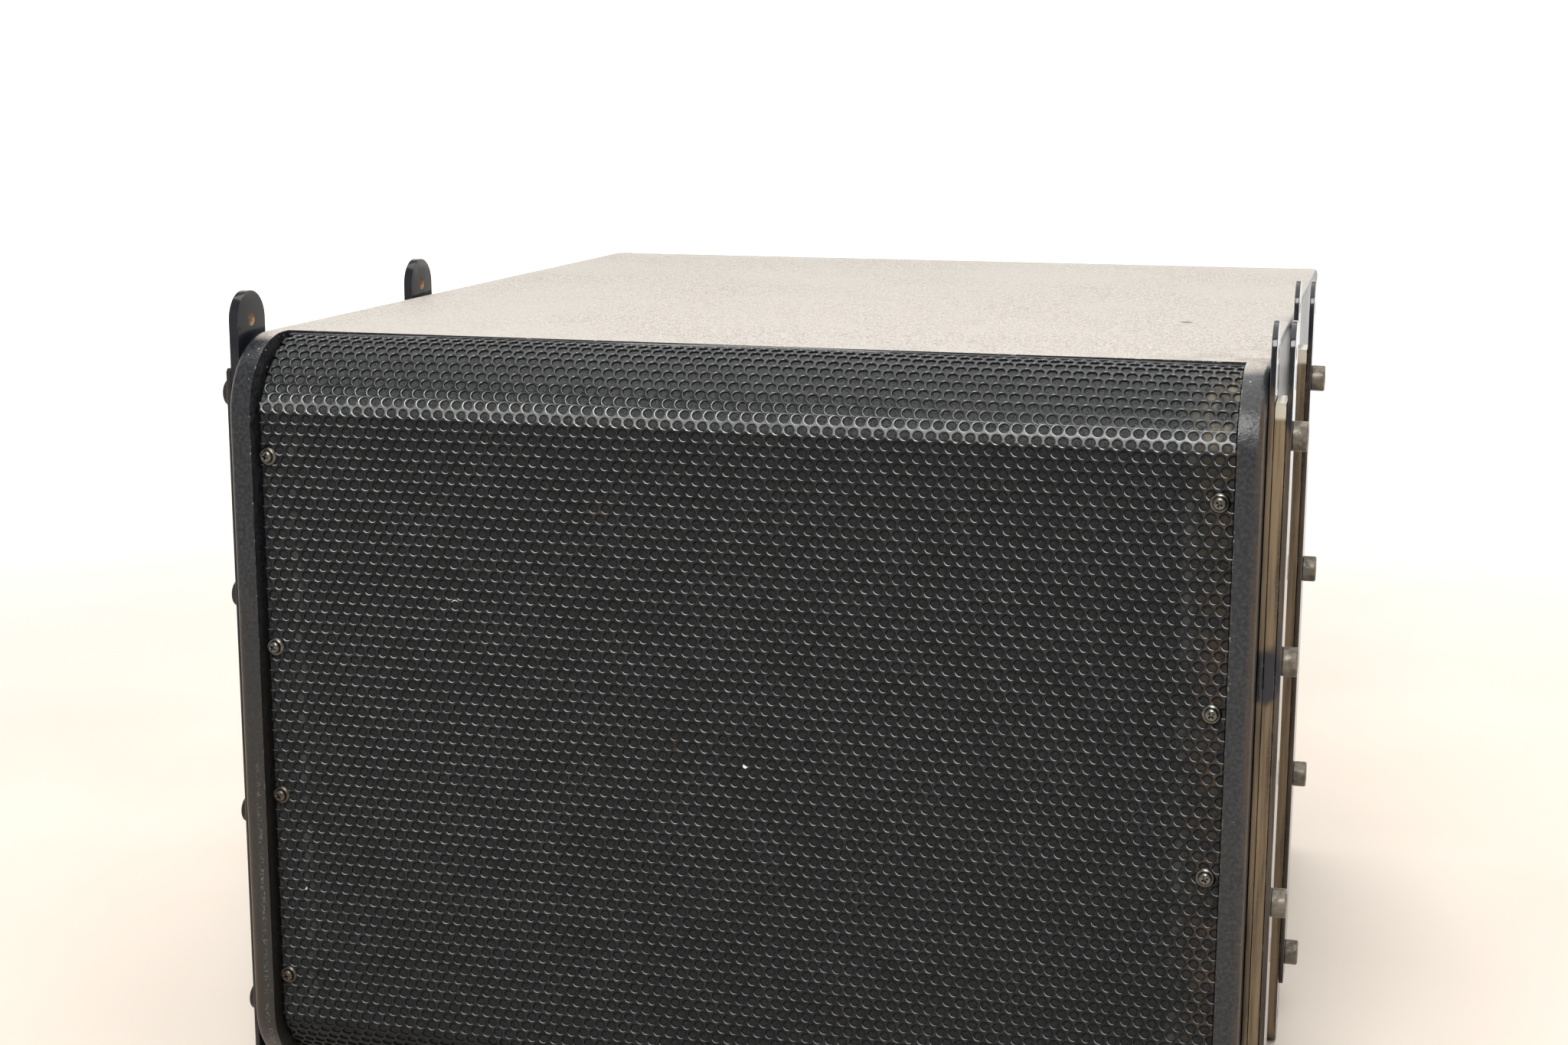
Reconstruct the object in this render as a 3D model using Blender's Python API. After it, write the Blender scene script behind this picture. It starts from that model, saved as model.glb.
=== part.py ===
"""Line array loudspeaker: a curved-front plywood cabinet hung by bolted side straps.

Metres, +Z up. The perforated grille faces -Y, the sockets face +Y, and the origin is
under the middle of the assembly, level with the lower ends of the rigging straps.
Every sub-part is one object with its own material. Each moving piece has its origin
on the axis that it slides along.
"""

import math

import bmesh
import bpy

# ------------------------------------------------------------------ driving dimensions
CABINET_WIDTH = 0.656
CABINET_HEIGHT = 0.508
CABINET_DEPTH = 0.767
PANEL = 0.015            # plywood thickness of the outer box
GAP = 0.0003             # clearance between pieces that touch
CHEEK_RADIUS = 0.0508    # front corners of the side panels, seen from the side
EDGE_RADIUS = 0.0035     # rounded outer edges of the box
REAR_CORNER_RADIUS = 0.013

# Rigging straps: two thin plates with a thicker bar between them.
STRAP_WIDTH = 0.0381
STRAP_OVERHANG = 0.0272      # how far a strap passes the top and the bottom of the box
STRAP_SPACING = 0.275        # front strap to rear strap
STRAP_SETBACK = 0.0440       # box front to the front strap's centre line
STRAP_STANDOFF = 0.0007      # side panel to the inner plate
PLATE_THICKNESS = 0.0032
BAR_THICKNESS = 0.0065
PLATE_SHORTFALL = 0.0226     # where the plates stop inside the tongue end of the box
BAR_SHORTFALL = 0.0193       # where the bar stops inside the clevis end of the box
PIN_HOLE_RADIUS = 0.0043
BOLT_HOLE_RADIUS = 0.0066
BOLT_OFFSETS = (-0.2131, -0.0762, 0.0762, 0.2131)   # from mid height
BOLT_RADIUS = 0.006
BOLT_HEAD_RADIUS = 0.009
BOLT_HEAD_HEIGHT = 0.009
BACKING_THICKNESS = 0.005
BACKING_HALF_WIDTH = 0.0125
BACKING_HALF_LENGTH = 0.225
PIN_RADIUS = 0.0039
PIN_HEAD_RADIUS = 0.0085

# Grille: a flat sheet whose top and bottom are folded back in a few flats.
GRILLE_RECESS = 0.0055       # side panel front edge to the grille's face
GRILLE_HALF_WIDTH = 0.311
GRILLE_THICKNESS = 0.0016
GRILLE_FLAT_HALF = 0.2073    # mid height to the first fold
GRILLE_FLATS = (             # length of each flat, and how far it leans back in degrees
    (0.0069, 12),
    (0.0172, 33),
    (0.0206, 46),
    (0.0137, 61),
    (0.0103, 79),
)
FOAM_THICKNESS = 0.008
SCREW_X = 0.3042
SCREW_OFFSETS = (-0.1778, -0.0508, 0.0508, 0.1778)   # from mid height
SCREW_RADIUS = 0.002
SCREW_HOLE_RADIUS = 0.0025
SCREW_LENGTH = 0.0215

# Inside of the box, measured back from the grille's face.
TOP_PANEL_START = 0.0534
BATTEN_START = 0.0102
BATTEN_END = 0.0245
BATTEN_INNER_X = 0.290
BAFFLE_START = 0.058
BAFFLE_THICKNESS = 0.018
BAFFLE_HALF_WIDTH = 0.240
BAFFLE_HOLE_RADIUS = 0.204
PORT_LENGTH = 0.350
BRACE_START = 0.450
BRACE_DEPTH = 0.060
BRACE_THICKNESS = 0.018

# Woofer, measured from the baffle's front face, backwards.
FLANGE_RADIUS = 0.230
FLANGE_THICKNESS = 0.008
CONE_RADIUS = 0.1715
SURROUND_INNER = 0.172
SURROUND_OUTER = 0.2045
COIL_RADIUS = 0.050
COIL_WALL = 0.0013
CONE_DEPTH = 0.084
BASKET_DEPTH = 0.117
TOP_PLATE_THICKNESS = 0.010
MAGNET_THICKNESS = 0.030
MAGNET_RADIUS = 0.105
BACK_PLATE_THICKNESS = 0.014
PLATE_RADIUS = 0.098
PLATE_BORE = 0.053
MAGNET_BORE = 0.056
POLE_RADIUS = 0.0475
VENT_RADIUS = 0.014
CONE_WALL = 0.002
DUST_CAP_RADIUS = 0.060
DUST_CAP_HEIGHT = 0.018
DUST_CAP_SEAT = 0.0735       # the cap's rim, back from the baffle's front face
COIL_START = 0.077
COIL_END = 0.134
SPIDER_OUTER = 0.085
GASKET_THICKNESS = 0.003
WINDOW_COUNT = 8
LARGE_ROUND = 36             # sides of the large round pieces
SMALL_ROUND = 24

# Back of the box.
BACK_INSET = 0.0125
INPUT_Z_OFFSET = -0.150      # input plate centre, from mid height
INPUT_HALF_WIDTH = 0.075
INPUT_HALF_HEIGHT = 0.050
SOCKET_SPACING = 0.056
SOCKET_RADIUS = 0.011
SOCKET_HOLE_RADIUS = 0.0118
SOCKET_FLANGE_RADIUS = 0.0155
SOCKET_BORE = 0.0085
SOCKET_BODY_LENGTH = 0.026
SOCKET_FLOOR = 0.006         # thickness of the socket's closed end
INPUT_PLATE_THICKNESS = 0.002
DAMPING_THICKNESS = 0.030

# Side handles: a pressed dish with a bar welded across it.
HANDLE_CENTRE = 0.515        # back from the grille's face
HANDLE_HALF_LENGTH = 0.075
HANDLE_HALF_HEIGHT = 0.050
HANDLE_DEPTH = 0.055
HANDLE_SHEET = 0.002
HANDLE_FLANGE = 0.014
HANDLE_BAR_RADIUS = 0.007
HANDLE_BAR_INSET = 0.008     # side panel's face to the bar's centre line
HANDLE_TAPER = 0.010         # how much smaller the dish is at its floor

# ------------------------------------------------------------------ derived places
HALF_WIDTH = CABINET_WIDTH / 2
INNER_X = HALF_WIDTH - PANEL
FRONT = -CABINET_DEPTH / 2
BACK = CABINET_DEPTH / 2
BOTTOM = STRAP_OVERHANG
TOP = BOTTOM + CABINET_HEIGHT
MIDDLE = (BOTTOM + TOP) / 2
FACE = FRONT + GRILLE_RECESS                 # the grille's front face
PLATE_1 = HALF_WIDTH + STRAP_STANDOFF        # inner plate's inner face
BAR_1 = PLATE_1 + PLATE_THICKNESS + GAP
PLATE_2 = BAR_1 + BAR_THICKNESS + GAP
STRAP_FACE = PLATE_2 + PLATE_THICKNESS       # outermost face of a strap
STRAP_Y = (FRONT + STRAP_SETBACK, FRONT + STRAP_SETBACK + STRAP_SPACING)
PIN_Z = STRAP_WIDTH / 2                      # pin hole height above a strap's end
BAFFLE_Y = FACE + BAFFLE_START


# ------------------------------------------------------------------ helpers
def clear_scene():
    for old in list(bpy.data.objects):
        bpy.data.objects.remove(old, do_unlink=True)


def material(name, colour, roughness, metallic=0.0):
    """A Principled material, made once and shared by name."""
    found = bpy.data.materials.get(name)
    if found:
        return found
    made = bpy.data.materials.new(name)
    made.use_nodes = True
    shader = made.node_tree.nodes["Principled BSDF"]
    shader.inputs["Base Color"].default_value = (*colour, 1.0)
    shader.inputs["Roughness"].default_value = roughness
    shader.inputs["Metallic"].default_value = metallic
    made.diffuse_color = (*colour, 1.0)
    return made


PLY_PAINT = ("cabinet_paint", (0.075, 0.075, 0.077), 0.6)
BARE_PLY = ("bare_plywood", (0.56, 0.42, 0.27), 0.7)
STRAP_PAINT = ("strap_paint", (0.05, 0.05, 0.052), 0.45, 0.3)
BOLT_STEEL = ("bolt_steel", (0.24, 0.23, 0.21), 0.4, 0.9)
GRILLE_PAINT = ("grille_paint", (0.10, 0.10, 0.10), 0.35, 0.6)
FOAM = ("foam", (0.09, 0.09, 0.09), 0.95)
SCREW_STEEL = ("screw_steel", (0.70, 0.68, 0.64), 0.25, 1.0)
CASTING = ("basket_casting", (0.06, 0.06, 0.06), 0.5, 0.4)
FERRITE = ("magnet_ferrite", (0.10, 0.10, 0.11), 0.6, 0.2)
PLATED_STEEL = ("plated_steel", (0.52, 0.52, 0.50), 0.35, 1.0)
PAPER = ("cone_paper", (0.045, 0.045, 0.05), 0.8)
CLOTH = ("surround_cloth", (0.06, 0.055, 0.05), 0.85)
SPIDER_CLOTH = ("spider_cloth", (0.45, 0.34, 0.12), 0.9)
COPPER = ("coil_copper", (0.72, 0.38, 0.22), 0.35, 1.0)
GASKET = ("gasket_rubber", (0.03, 0.03, 0.03), 0.8)
PLASTIC = ("socket_plastic", (0.025, 0.03, 0.05), 0.4)


def circle(radius, count, centre=(0.0, 0.0), start=0.0):
    """Points of a circle, anticlockwise."""
    turn = 2 * math.pi / count
    return [
        (centre[0] + radius * math.cos(start + turn * i), centre[1] + radius * math.sin(start + turn * i))
        for i in range(count)
    ]


def arc(centre, radius, first, last, count):
    """Points of an arc between two angles in degrees, both ends included."""
    angles = [math.radians(first + (last - first) * i / count) for i in range(count + 1)]
    return [(centre[0] + radius * math.cos(a), centre[1] + radius * math.sin(a)) for a in angles]


def rounded_rectangle(half_a, half_b, radius, count=3, centre=(0.0, 0.0)):
    """A rectangle with round corners, anticlockwise."""
    a, b = half_a - radius, half_b - radius
    corners = ((a, b, 0), (-a, b, 90), (-a, -b, 180), (a, -b, 270))
    points = []
    for x, y, angle in corners:
        points += arc((centre[0] + x, centre[1] + y), radius, angle, angle + 90, count)
    return points


def finish(name, mesh_builder, finish_values, parent=None, sharp=35):
    """Turn a bmesh into a named object with a material, shaded smooth but for its edges."""
    bmesh.ops.recalc_face_normals(mesh_builder, faces=mesh_builder.faces[:])
    mesh = bpy.data.meshes.new(name)
    mesh_builder.to_mesh(mesh)
    mesh_builder.free()
    mesh.shade_smooth()
    mesh.set_sharp_from_angle(angle=math.radians(sharp))
    made = bpy.data.objects.new(name, mesh)
    bpy.context.scene.collection.objects.link(made)
    made.data.materials.append(material(*finish_values))
    made.parent = parent
    return made


PLACE = {
    "X": lambda a, b, along: (along, a, b),
    "Y": lambda a, b, along: (a, along, b),
    "Z": lambda a, b, along: (a, b, along),
}


def join_rings(bm, lower, upper):
    count = len(lower)
    for i in range(count):
        j = (i + 1) % count
        bm.faces.new((lower[i], lower[j], upper[j], upper[i]))


def cap(bm, rings, normal):
    """Close one end: an outer ring with the hole rings inside it."""
    edges = []
    for ring in rings:
        for v, w in zip(ring, ring[1:] + ring[:1]):
            edges.append(bm.edges.get((v, w)))
    bmesh.ops.triangle_fill(bm, use_beauty=True, edges=edges, normal=normal)


def lofted(name, axis, stations, holes, finish_values, parent=None):
    """A solid along an axis through outlines of equal point count, with straight holes."""
    bm = bmesh.new()
    place = PLACE[axis]
    rings = [[bm.verts.new(place(a, b, along)) for a, b in outline] for along, outline in stations]
    for lower, upper in zip(rings, rings[1:]):
        join_rings(bm, lower, upper)
    first, last = stations[0][0], stations[-1][0]
    first_holes = [[bm.verts.new(place(a, b, first)) for a, b in hole] for hole in holes]
    last_holes = [[bm.verts.new(place(a, b, last)) for a, b in hole] for hole in holes]
    for lower, upper in zip(first_holes, last_holes):
        join_rings(bm, lower, upper)
    normal = place(0, 0, 1)
    cap(bm, [rings[0], *first_holes], normal)
    cap(bm, [rings[-1], *last_holes], normal)
    return finish(name, bm, finish_values, parent)


def prism(name, axis, outline, low, high, finish_values, holes=(), parent=None):
    return lofted(name, axis, [(low, outline), (high, outline)], holes, finish_values, parent)


def box_outline(a0, a1, b0, b1):
    return [(a0, b0), (a1, b0), (a1, b1), (a0, b1)]


def turned_builder(profile, axis, centre, segments):
    """A solid of revolution from a closed profile of (radius, distance along the axis)."""
    bm = bmesh.new()
    place = PLACE[axis]
    rings = []
    for radius, along in profile:
        if radius <= 0:
            rings.append([bm.verts.new(place(centre[0], centre[1], along))])
            continue
        rings.append([bm.verts.new(place(a, b, along)) for a, b in circle(radius, segments, centre)])
    for lower, upper in zip(rings, rings[1:] + rings[:1]):
        if len(lower) == len(upper) == 1:
            continue
        if len(lower) == 1 or len(upper) == 1:
            tip, ring = (lower, upper) if len(lower) == 1 else (upper, lower)
            for i in range(segments):
                bm.faces.new((tip[0], ring[i], ring[(i + 1) % segments]))
            continue
        join_rings(bm, lower, upper)
    return bm


def turned(name, profile, axis, centre, segments, finish_values, parent=None):
    return finish(name, turned_builder(profile, axis, centre, segments), finish_values, parent)


def tool(name, bm):
    """A cutting or joining shape, which isn't part of the model."""
    made = finish(name, bm, FOAM)
    made.hide_render = True
    made.display_type = "WIRE"
    return made


def combine(target, other, operation):
    step = target.modifiers.new(f"{operation.lower()}_{other.name}", "BOOLEAN")
    step.operation = operation
    step.solver = "EXACT"
    step.object = other
    return target


def merge_builders(builders):
    """Several separate shapes as one mesh."""
    whole = bmesh.new()
    for part in builders:
        scratch = bpy.data.meshes.new("scratch")
        part.to_mesh(scratch)
        part.free()
        whole.from_mesh(scratch)
        bpy.data.meshes.remove(scratch)
    return whole


def cylinder(axis, centre, radius, low, high, segments):
    return turned_builder([(0, low), (radius, low), (radius, high), (0, high)], axis, centre, segments)


# ------------------------------------------------------------------ plywood box
def socket_places():
    return [(sign * SOCKET_SPACING / 2, MIDDLE + INPUT_Z_OFFSET) for sign in (-1, 1)]


def inset_for(distance_inside, radius):
    """How far an edge of this radius has curved in, at a depth below the outer face."""
    reach = max(0.0, radius - distance_inside)
    return radius - math.sqrt(max(0.0, radius * radius - reach * reach))


def side_outline(distance_inside):
    """Side panel outline in (y, z), rounded in towards its outer face."""
    edge = inset_for(distance_inside, EDGE_RADIUS)
    rear = inset_for(distance_inside, REAR_CORNER_RADIUS)
    radius = CHEEK_RADIUS - edge
    y = FRONT + CHEEK_RADIUS
    points = [(BACK - rear, BOTTOM + edge), (BACK - rear, TOP - edge)]
    points += arc((y, TOP - CHEEK_RADIUS), radius, 90, 180, 12)
    points += arc((y, BOTTOM + CHEEK_RADIUS), radius, 180, 270, 12)
    return points


def side_panel(name, sign):
    depths = (PANEL, REAR_CORNER_RADIUS, 0.0085, 0.0055, EDGE_RADIUS, 0.0016, 0.0005, 0.0)
    stations = [(sign * (HALF_WIDTH - d), side_outline(d)) for d in depths]
    holes = [
        circle(BOLT_HOLE_RADIUS, 10, (y, MIDDLE + offset)) for y in STRAP_Y for offset in BOLT_OFFSETS
    ]
    window = rounded_rectangle(
        HANDLE_HALF_LENGTH + GAP * 2, HANDLE_HALF_HEIGHT + GAP * 2, 0.012, 3, (FACE + HANDLE_CENTRE, MIDDLE)
    )
    return lofted(name, "X", stations, [*holes, window], PLY_PAINT)


def lid_outline(outer, inner, start):
    """Top or bottom panel in (y, z): outer and inner are the heights of its two faces."""
    away = 1 if outer > inner else -1
    points = [(start, inner), (BACK, inner)]
    centre = (BACK - EDGE_RADIUS, outer - away * EDGE_RADIUS)
    points += arc(centre, EDGE_RADIUS, 0, away * 90, 4)
    points.append((start, outer))
    return points


def cabinet():
    side_panel("left_side_panel", -1)
    side_panel("right_side_panel", 1)
    reach = INNER_X - GAP
    start = FACE + TOP_PANEL_START
    prism("top_panel", "X", lid_outline(TOP, TOP - PANEL, start), -reach, reach, PLY_PAINT)
    prism("bottom_panel", "X", lid_outline(BOTTOM, BOTTOM + PANEL, start), -reach, reach, PLY_PAINT)
    low, high = BOTTOM + PANEL + GAP, TOP - PANEL - GAP
    outer = BACK - BACK_INSET
    holes = [circle(SOCKET_HOLE_RADIUS, 16, place) for place in socket_places()]
    prism("back_panel", "Y", box_outline(-reach, reach, low, high), outer - PANEL, outer, PLY_PAINT, holes)

    baffle_end = BAFFLE_Y + BAFFLE_THICKNESS
    hole = circle(BAFFLE_HOLE_RADIUS, LARGE_ROUND, (0, MIDDLE))
    outline = box_outline(-BAFFLE_HALF_WIDTH, BAFFLE_HALF_WIDTH, low, high)
    prism("baffle", "Y", outline, BAFFLE_Y, baffle_end, PLY_PAINT, [hole])
    port_start = baffle_end + GAP
    for name, sign in (("left", -1), ("right", 1)):
        wall = sorted((sign * (BAFFLE_HALF_WIDTH - PANEL), sign * BAFFLE_HALF_WIDTH))
        outline = box_outline(*wall, low, high)
        prism(f"{name}_port_wall", "Y", outline, port_start, port_start + PORT_LENGTH, BARE_PLY)
    half = BRACE_THICKNESS / 2
    brace_start = FACE + BRACE_START
    outline = box_outline(-half, half, low, high)
    prism("vertical_brace", "Y", outline, brace_start, brace_start + BRACE_DEPTH, BARE_PLY)
    foam_end = outer - PANEL - GAP
    outline = rounded_rectangle(0.250, 0.150, 0.020, 3, (0, MIDDLE + 0.075))
    prism("damping_foam", "Y", outline, foam_end - DAMPING_THICKNESS, foam_end, FOAM)


# ------------------------------------------------------------------ grille
def grille_line(inwards):
    """The folded sheet's edge line in (y, z), from its lower end to its upper end, moved inwards."""
    half = [(0.0, 0.0, 0)]
    for length, lean in GRILLE_FLATS:
        y, z, _ = half[-1]
        angle = math.radians(lean)
        half.append((y + length * math.sin(angle), z + length * math.cos(angle), lean))
    leans = [0] + [point[2] for point in half[1:]]
    points = []
    for i, (y, z, _) in enumerate(half):
        before = math.radians(leans[i])
        after = math.radians(leans[i + 1]) if i + 1 < len(leans) else before
        middle = (before + after) / 2
        stretch = inwards / math.cos((after - before) / 2)
        points.append((y + stretch * math.cos(middle), z - stretch * math.sin(middle)))
    upper = [(FACE + y, MIDDLE + GRILLE_FLAT_HALF + z) for y, z in points]
    lower = [(y, 2 * MIDDLE - z) for y, z in reversed(upper)]
    return lower + upper


def folded_sheet(name, front, back, finish_values):
    outline = grille_line(front) + list(reversed(grille_line(back)))
    return prism(name, "X", outline, -GRILLE_HALF_WIDTH, GRILLE_HALF_WIDTH, finish_values)


def screw_places():
    return [(sign * SCREW_X, MIDDLE + offset) for sign in (-1, 1) for offset in SCREW_OFFSETS]


def grille_parts():
    grille = folded_sheet("grille", 0.0, GRILLE_THICKNESS, GRILLE_PAINT)
    foam_front = GRILLE_THICKNESS + GAP
    foam = folded_sheet("grille_foam", foam_front, foam_front + FOAM_THICKNESS, FOAM)
    drills = [
        cylinder("Y", place, SCREW_HOLE_RADIUS, FACE - 0.002, FACE + 0.014, 12) for place in screw_places()
    ]
    drill = tool("screw_hole_tool", merge_builders(drills))
    combine(grille, drill, "DIFFERENCE")
    combine(foam, drill, "DIFFERENCE")
    for name, sign in (("left", -1), ("right", 1)):
        edges = sorted((sign * BATTEN_INNER_X, sign * (INNER_X - GAP)))
        outline = box_outline(*edges, BOTTOM + PANEL + 0.040, TOP - PANEL - 0.040)
        holes = [circle(SCREW_HOLE_RADIUS, 12, place) for place in screw_places() if place[0] * sign > 0]
        prism(f"{name}_grille_batten", "Y", outline, FACE + BATTEN_START, FACE + BATTEN_END, BARE_PLY, holes)
    front = FACE - GAP
    profile = [
        (0, front - 0.0040),
        (0.0030, front - 0.0037),
        (0.0041, front - 0.0024),
        (0.0044, front - 0.0018),
        (0.0061, front - 0.0004),
        (0.0061, front),
        (SCREW_RADIUS, front),
        (SCREW_RADIUS, front + SCREW_LENGTH - 0.003),
        (0, front + SCREW_LENGTH),
    ]
    for number, place in enumerate(screw_places(), 1):
        turned(f"grille_screw_{number}", profile, "Y", place, 12, SCREW_STEEL)


# ------------------------------------------------------------------ rigging straps
def strap_outline(y, round_end, square_end):
    """A bar in (y, z) with a full round at one end and a square cut at the other."""
    radius = STRAP_WIDTH / 2
    away = 1 if round_end > square_end else -1
    chamfer = 0.002
    points = arc((y, round_end - away * radius), radius, 0, away * 180, 12)
    points += [
        (y - radius, square_end + away * chamfer),
        (y - radius + chamfer, square_end),
        (y + radius - chamfer, square_end),
        (y + radius, square_end + away * chamfer),
    ]
    return points


def strap_holes(y, round_end):
    away = 1 if round_end > MIDDLE else -1
    holes = [circle(BOLT_HOLE_RADIUS, 10, (y, MIDDLE + offset)) for offset in BOLT_OFFSETS]
    holes.append(circle(PIN_HOLE_RADIUS, 12, (y, round_end - away * PIN_Z)))
    return holes


def strap(name, sign, y):
    """The clevis ends point up on the right side and down on the left, to take a tongue."""
    high, low = TOP + STRAP_OVERHANG, BOTTOM - STRAP_OVERHANG
    if sign > 0:
        plate_round, plate_square = high, BOTTOM + PLATE_SHORTFALL
        bar_round, bar_square = low, TOP - BAR_SHORTFALL
    else:
        plate_round, plate_square = low, TOP - PLATE_SHORTFALL
        bar_round, bar_square = high, BOTTOM + BAR_SHORTFALL
    pieces = (
        ("inner_plate", PLATE_1, PLATE_THICKNESS, plate_round, plate_square),
        ("middle_bar", BAR_1, BAR_THICKNESS, bar_round, bar_square),
        ("outer_plate", PLATE_2, PLATE_THICKNESS, plate_round, plate_square),
    )
    for piece, start, thickness, round_end, square_end in pieces:
        low_x, high_x = sorted((sign * start, sign * (start + thickness)))
        outline = strap_outline(y, round_end, square_end)
        holes = strap_holes(y, round_end)
        prism(f"{name}_strap_{piece}", "X", outline, low_x, high_x, STRAP_PAINT, holes)


def strap_bolts(name, sign, y):
    """Four bolts through the strap and the side panel, welded to a backing bar inside."""
    bar_inner = INNER_X - GAP - BACKING_THICKNESS
    head = STRAP_FACE + GAP
    top = head + BOLT_HEAD_HEIGHT
    profile = [
        (0, sign * (bar_inner + 0.001)),
        (BOLT_RADIUS, sign * (bar_inner + 0.001)),
        (BOLT_RADIUS, sign * head),
        (BOLT_HEAD_RADIUS, sign * head),
        (BOLT_HEAD_RADIUS, sign * (top - 0.0012)),
        (BOLT_HEAD_RADIUS - 0.0012, sign * top),
        (0, sign * top),
    ]
    bolts = [turned_builder(profile, "X", (y, MIDDLE + offset), 12) for offset in BOLT_OFFSETS]
    bolts_tool = tool(f"{name}_bolts_tool", merge_builders(bolts))
    bar = sorted((sign * bar_inner, sign * (bar_inner + BACKING_THICKNESS)))
    outline = rounded_rectangle(BACKING_HALF_WIDTH, BACKING_HALF_LENGTH, 0.004, 2, (y, MIDDLE))
    backing = prism(f"{name}_bolt_set", "X", outline, *bar, BOLT_STEEL)
    combine(backing, bolts_tool, "UNION")


def locking_pin(name, y):
    """A headed pin that crosses a lower clevis on the left side and pulls out sideways."""
    axis = bpy.data.objects.new(f"{name}_axis", None)
    axis.location = (-STRAP_FACE, y, PIN_Z)
    bpy.context.scene.collection.objects.link(axis)
    head_start = -GAP
    profile = [
        (0, 0.0180),
        (0.0022, 0.0180),
        (PIN_RADIUS, 0.0163),
        (PIN_RADIUS, head_start),
        (PIN_HEAD_RADIUS, head_start),
        (PIN_HEAD_RADIUS, head_start - 0.0022),
        (0.0048, head_start - 0.0034),
        (0.0048, head_start - 0.0052),
        (0.0070, head_start - 0.0060),
        (0.0070, head_start - 0.0080),
        (0.0060, head_start - 0.0088),
        (0, head_start - 0.0088),
    ]
    turned(name, profile, "X", (0, 0), 16, PLATED_STEEL, parent=axis)


def rigging():
    for side, sign in (("left", -1), ("right", 1)):
        for end, y in zip(("front", "rear"), STRAP_Y):
            strap(f"{side}_{end}", sign, y)
            strap_bolts(f"{side}_{end}", sign, y)
    locking_pin("front_pin", STRAP_Y[0])
    locking_pin("rear_pin", STRAP_Y[1])


# ------------------------------------------------------------------ woofer
def basket():
    """A cast frame: flange, sloping wall with windows, spider ledge and magnet seat."""
    depth = BAFFLE_Y + BASKET_DEPTH
    profile = [
        (SURROUND_OUTER + 0.0005, BAFFLE_Y - FLANGE_THICKNESS),
        (FLANGE_RADIUS, BAFFLE_Y - FLANGE_THICKNESS),
        (FLANGE_RADIUS, BAFFLE_Y - GAP),
        (0.2025, BAFFLE_Y - GAP),
        (0.2010, BAFFLE_Y + 0.010),
        (0.1180, depth - 0.012),
        (0.1120, depth - GAP),
        (0.0600, depth - GAP),
        (0.0600, depth - 0.006),
        (0.0860, depth - 0.006),
        (0.0860, depth - 0.0095),
        (0.1080, depth - 0.0125),
        (0.1950, BAFFLE_Y + 0.006),
        (SURROUND_OUTER - 0.007, BAFFLE_Y - 0.0056),
        (SURROUND_OUTER + 0.0005, BAFFLE_Y - 0.0056),
    ]
    frame = turned("woofer_basket", profile, "Y", (0, MIDDLE), LARGE_ROUND, CASTING)
    cuts = []
    for i in range(WINDOW_COUNT):
        angle = 2 * math.pi * (i + 0.5) / WINDOW_COUNT
        bm = bmesh.new()
        ends = []
        for along in (BAFFLE_Y + 0.030, depth - 0.022):
            half = 0.040 if along < BAFFLE_Y + 0.05 else 0.028
            ring = []
            for radial, across in ((0.100, -half), (0.220, -half), (0.220, half), (0.100, half)):
                x = radial * math.cos(angle) - across * math.sin(angle)
                z = radial * math.sin(angle) + across * math.cos(angle)
                ring.append(bm.verts.new((x, along, MIDDLE + z)))
            ends.append(ring)
        join_rings(bm, *ends)
        bm.faces.new(ends[0])
        bm.faces.new(ends[1])
        bmesh.ops.recalc_face_normals(bm, faces=bm.faces[:])
        cuts.append(bm)
    combine(frame, tool("basket_window_tool", merge_builders(cuts)), "DIFFERENCE")


def roll_profile(inner, outer, height, thickness, y, steps):
    """A half-roll between two radii, bulging to the front, with a thickness."""
    middle, half = (inner + outer) / 2, (outer - inner) / 2
    front, back = [], []
    for i in range(steps + 1):
        angle = math.pi * i / steps
        front.append((middle - half * math.cos(angle), y - height * math.sin(angle) - thickness))
        inside, low = half - thickness, height - thickness
        back.append((middle - inside * math.cos(angle), y - low * math.sin(angle)))
    back[0] = (inner, y)
    back[-1] = (outer, y)
    return front + list(reversed(back))


def corrugated_profile(inner, outer, waves, height, thickness, y):
    steps = waves * 4
    line = []
    for i in range(steps + 1):
        radius = inner + (outer - inner) * i / steps
        line.append((radius, y + height * math.sin(2 * math.pi * waves * i / steps)))
    return [(r, a - thickness) for r, a in line] + [(r, a) for r, a in reversed(line)]


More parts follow.
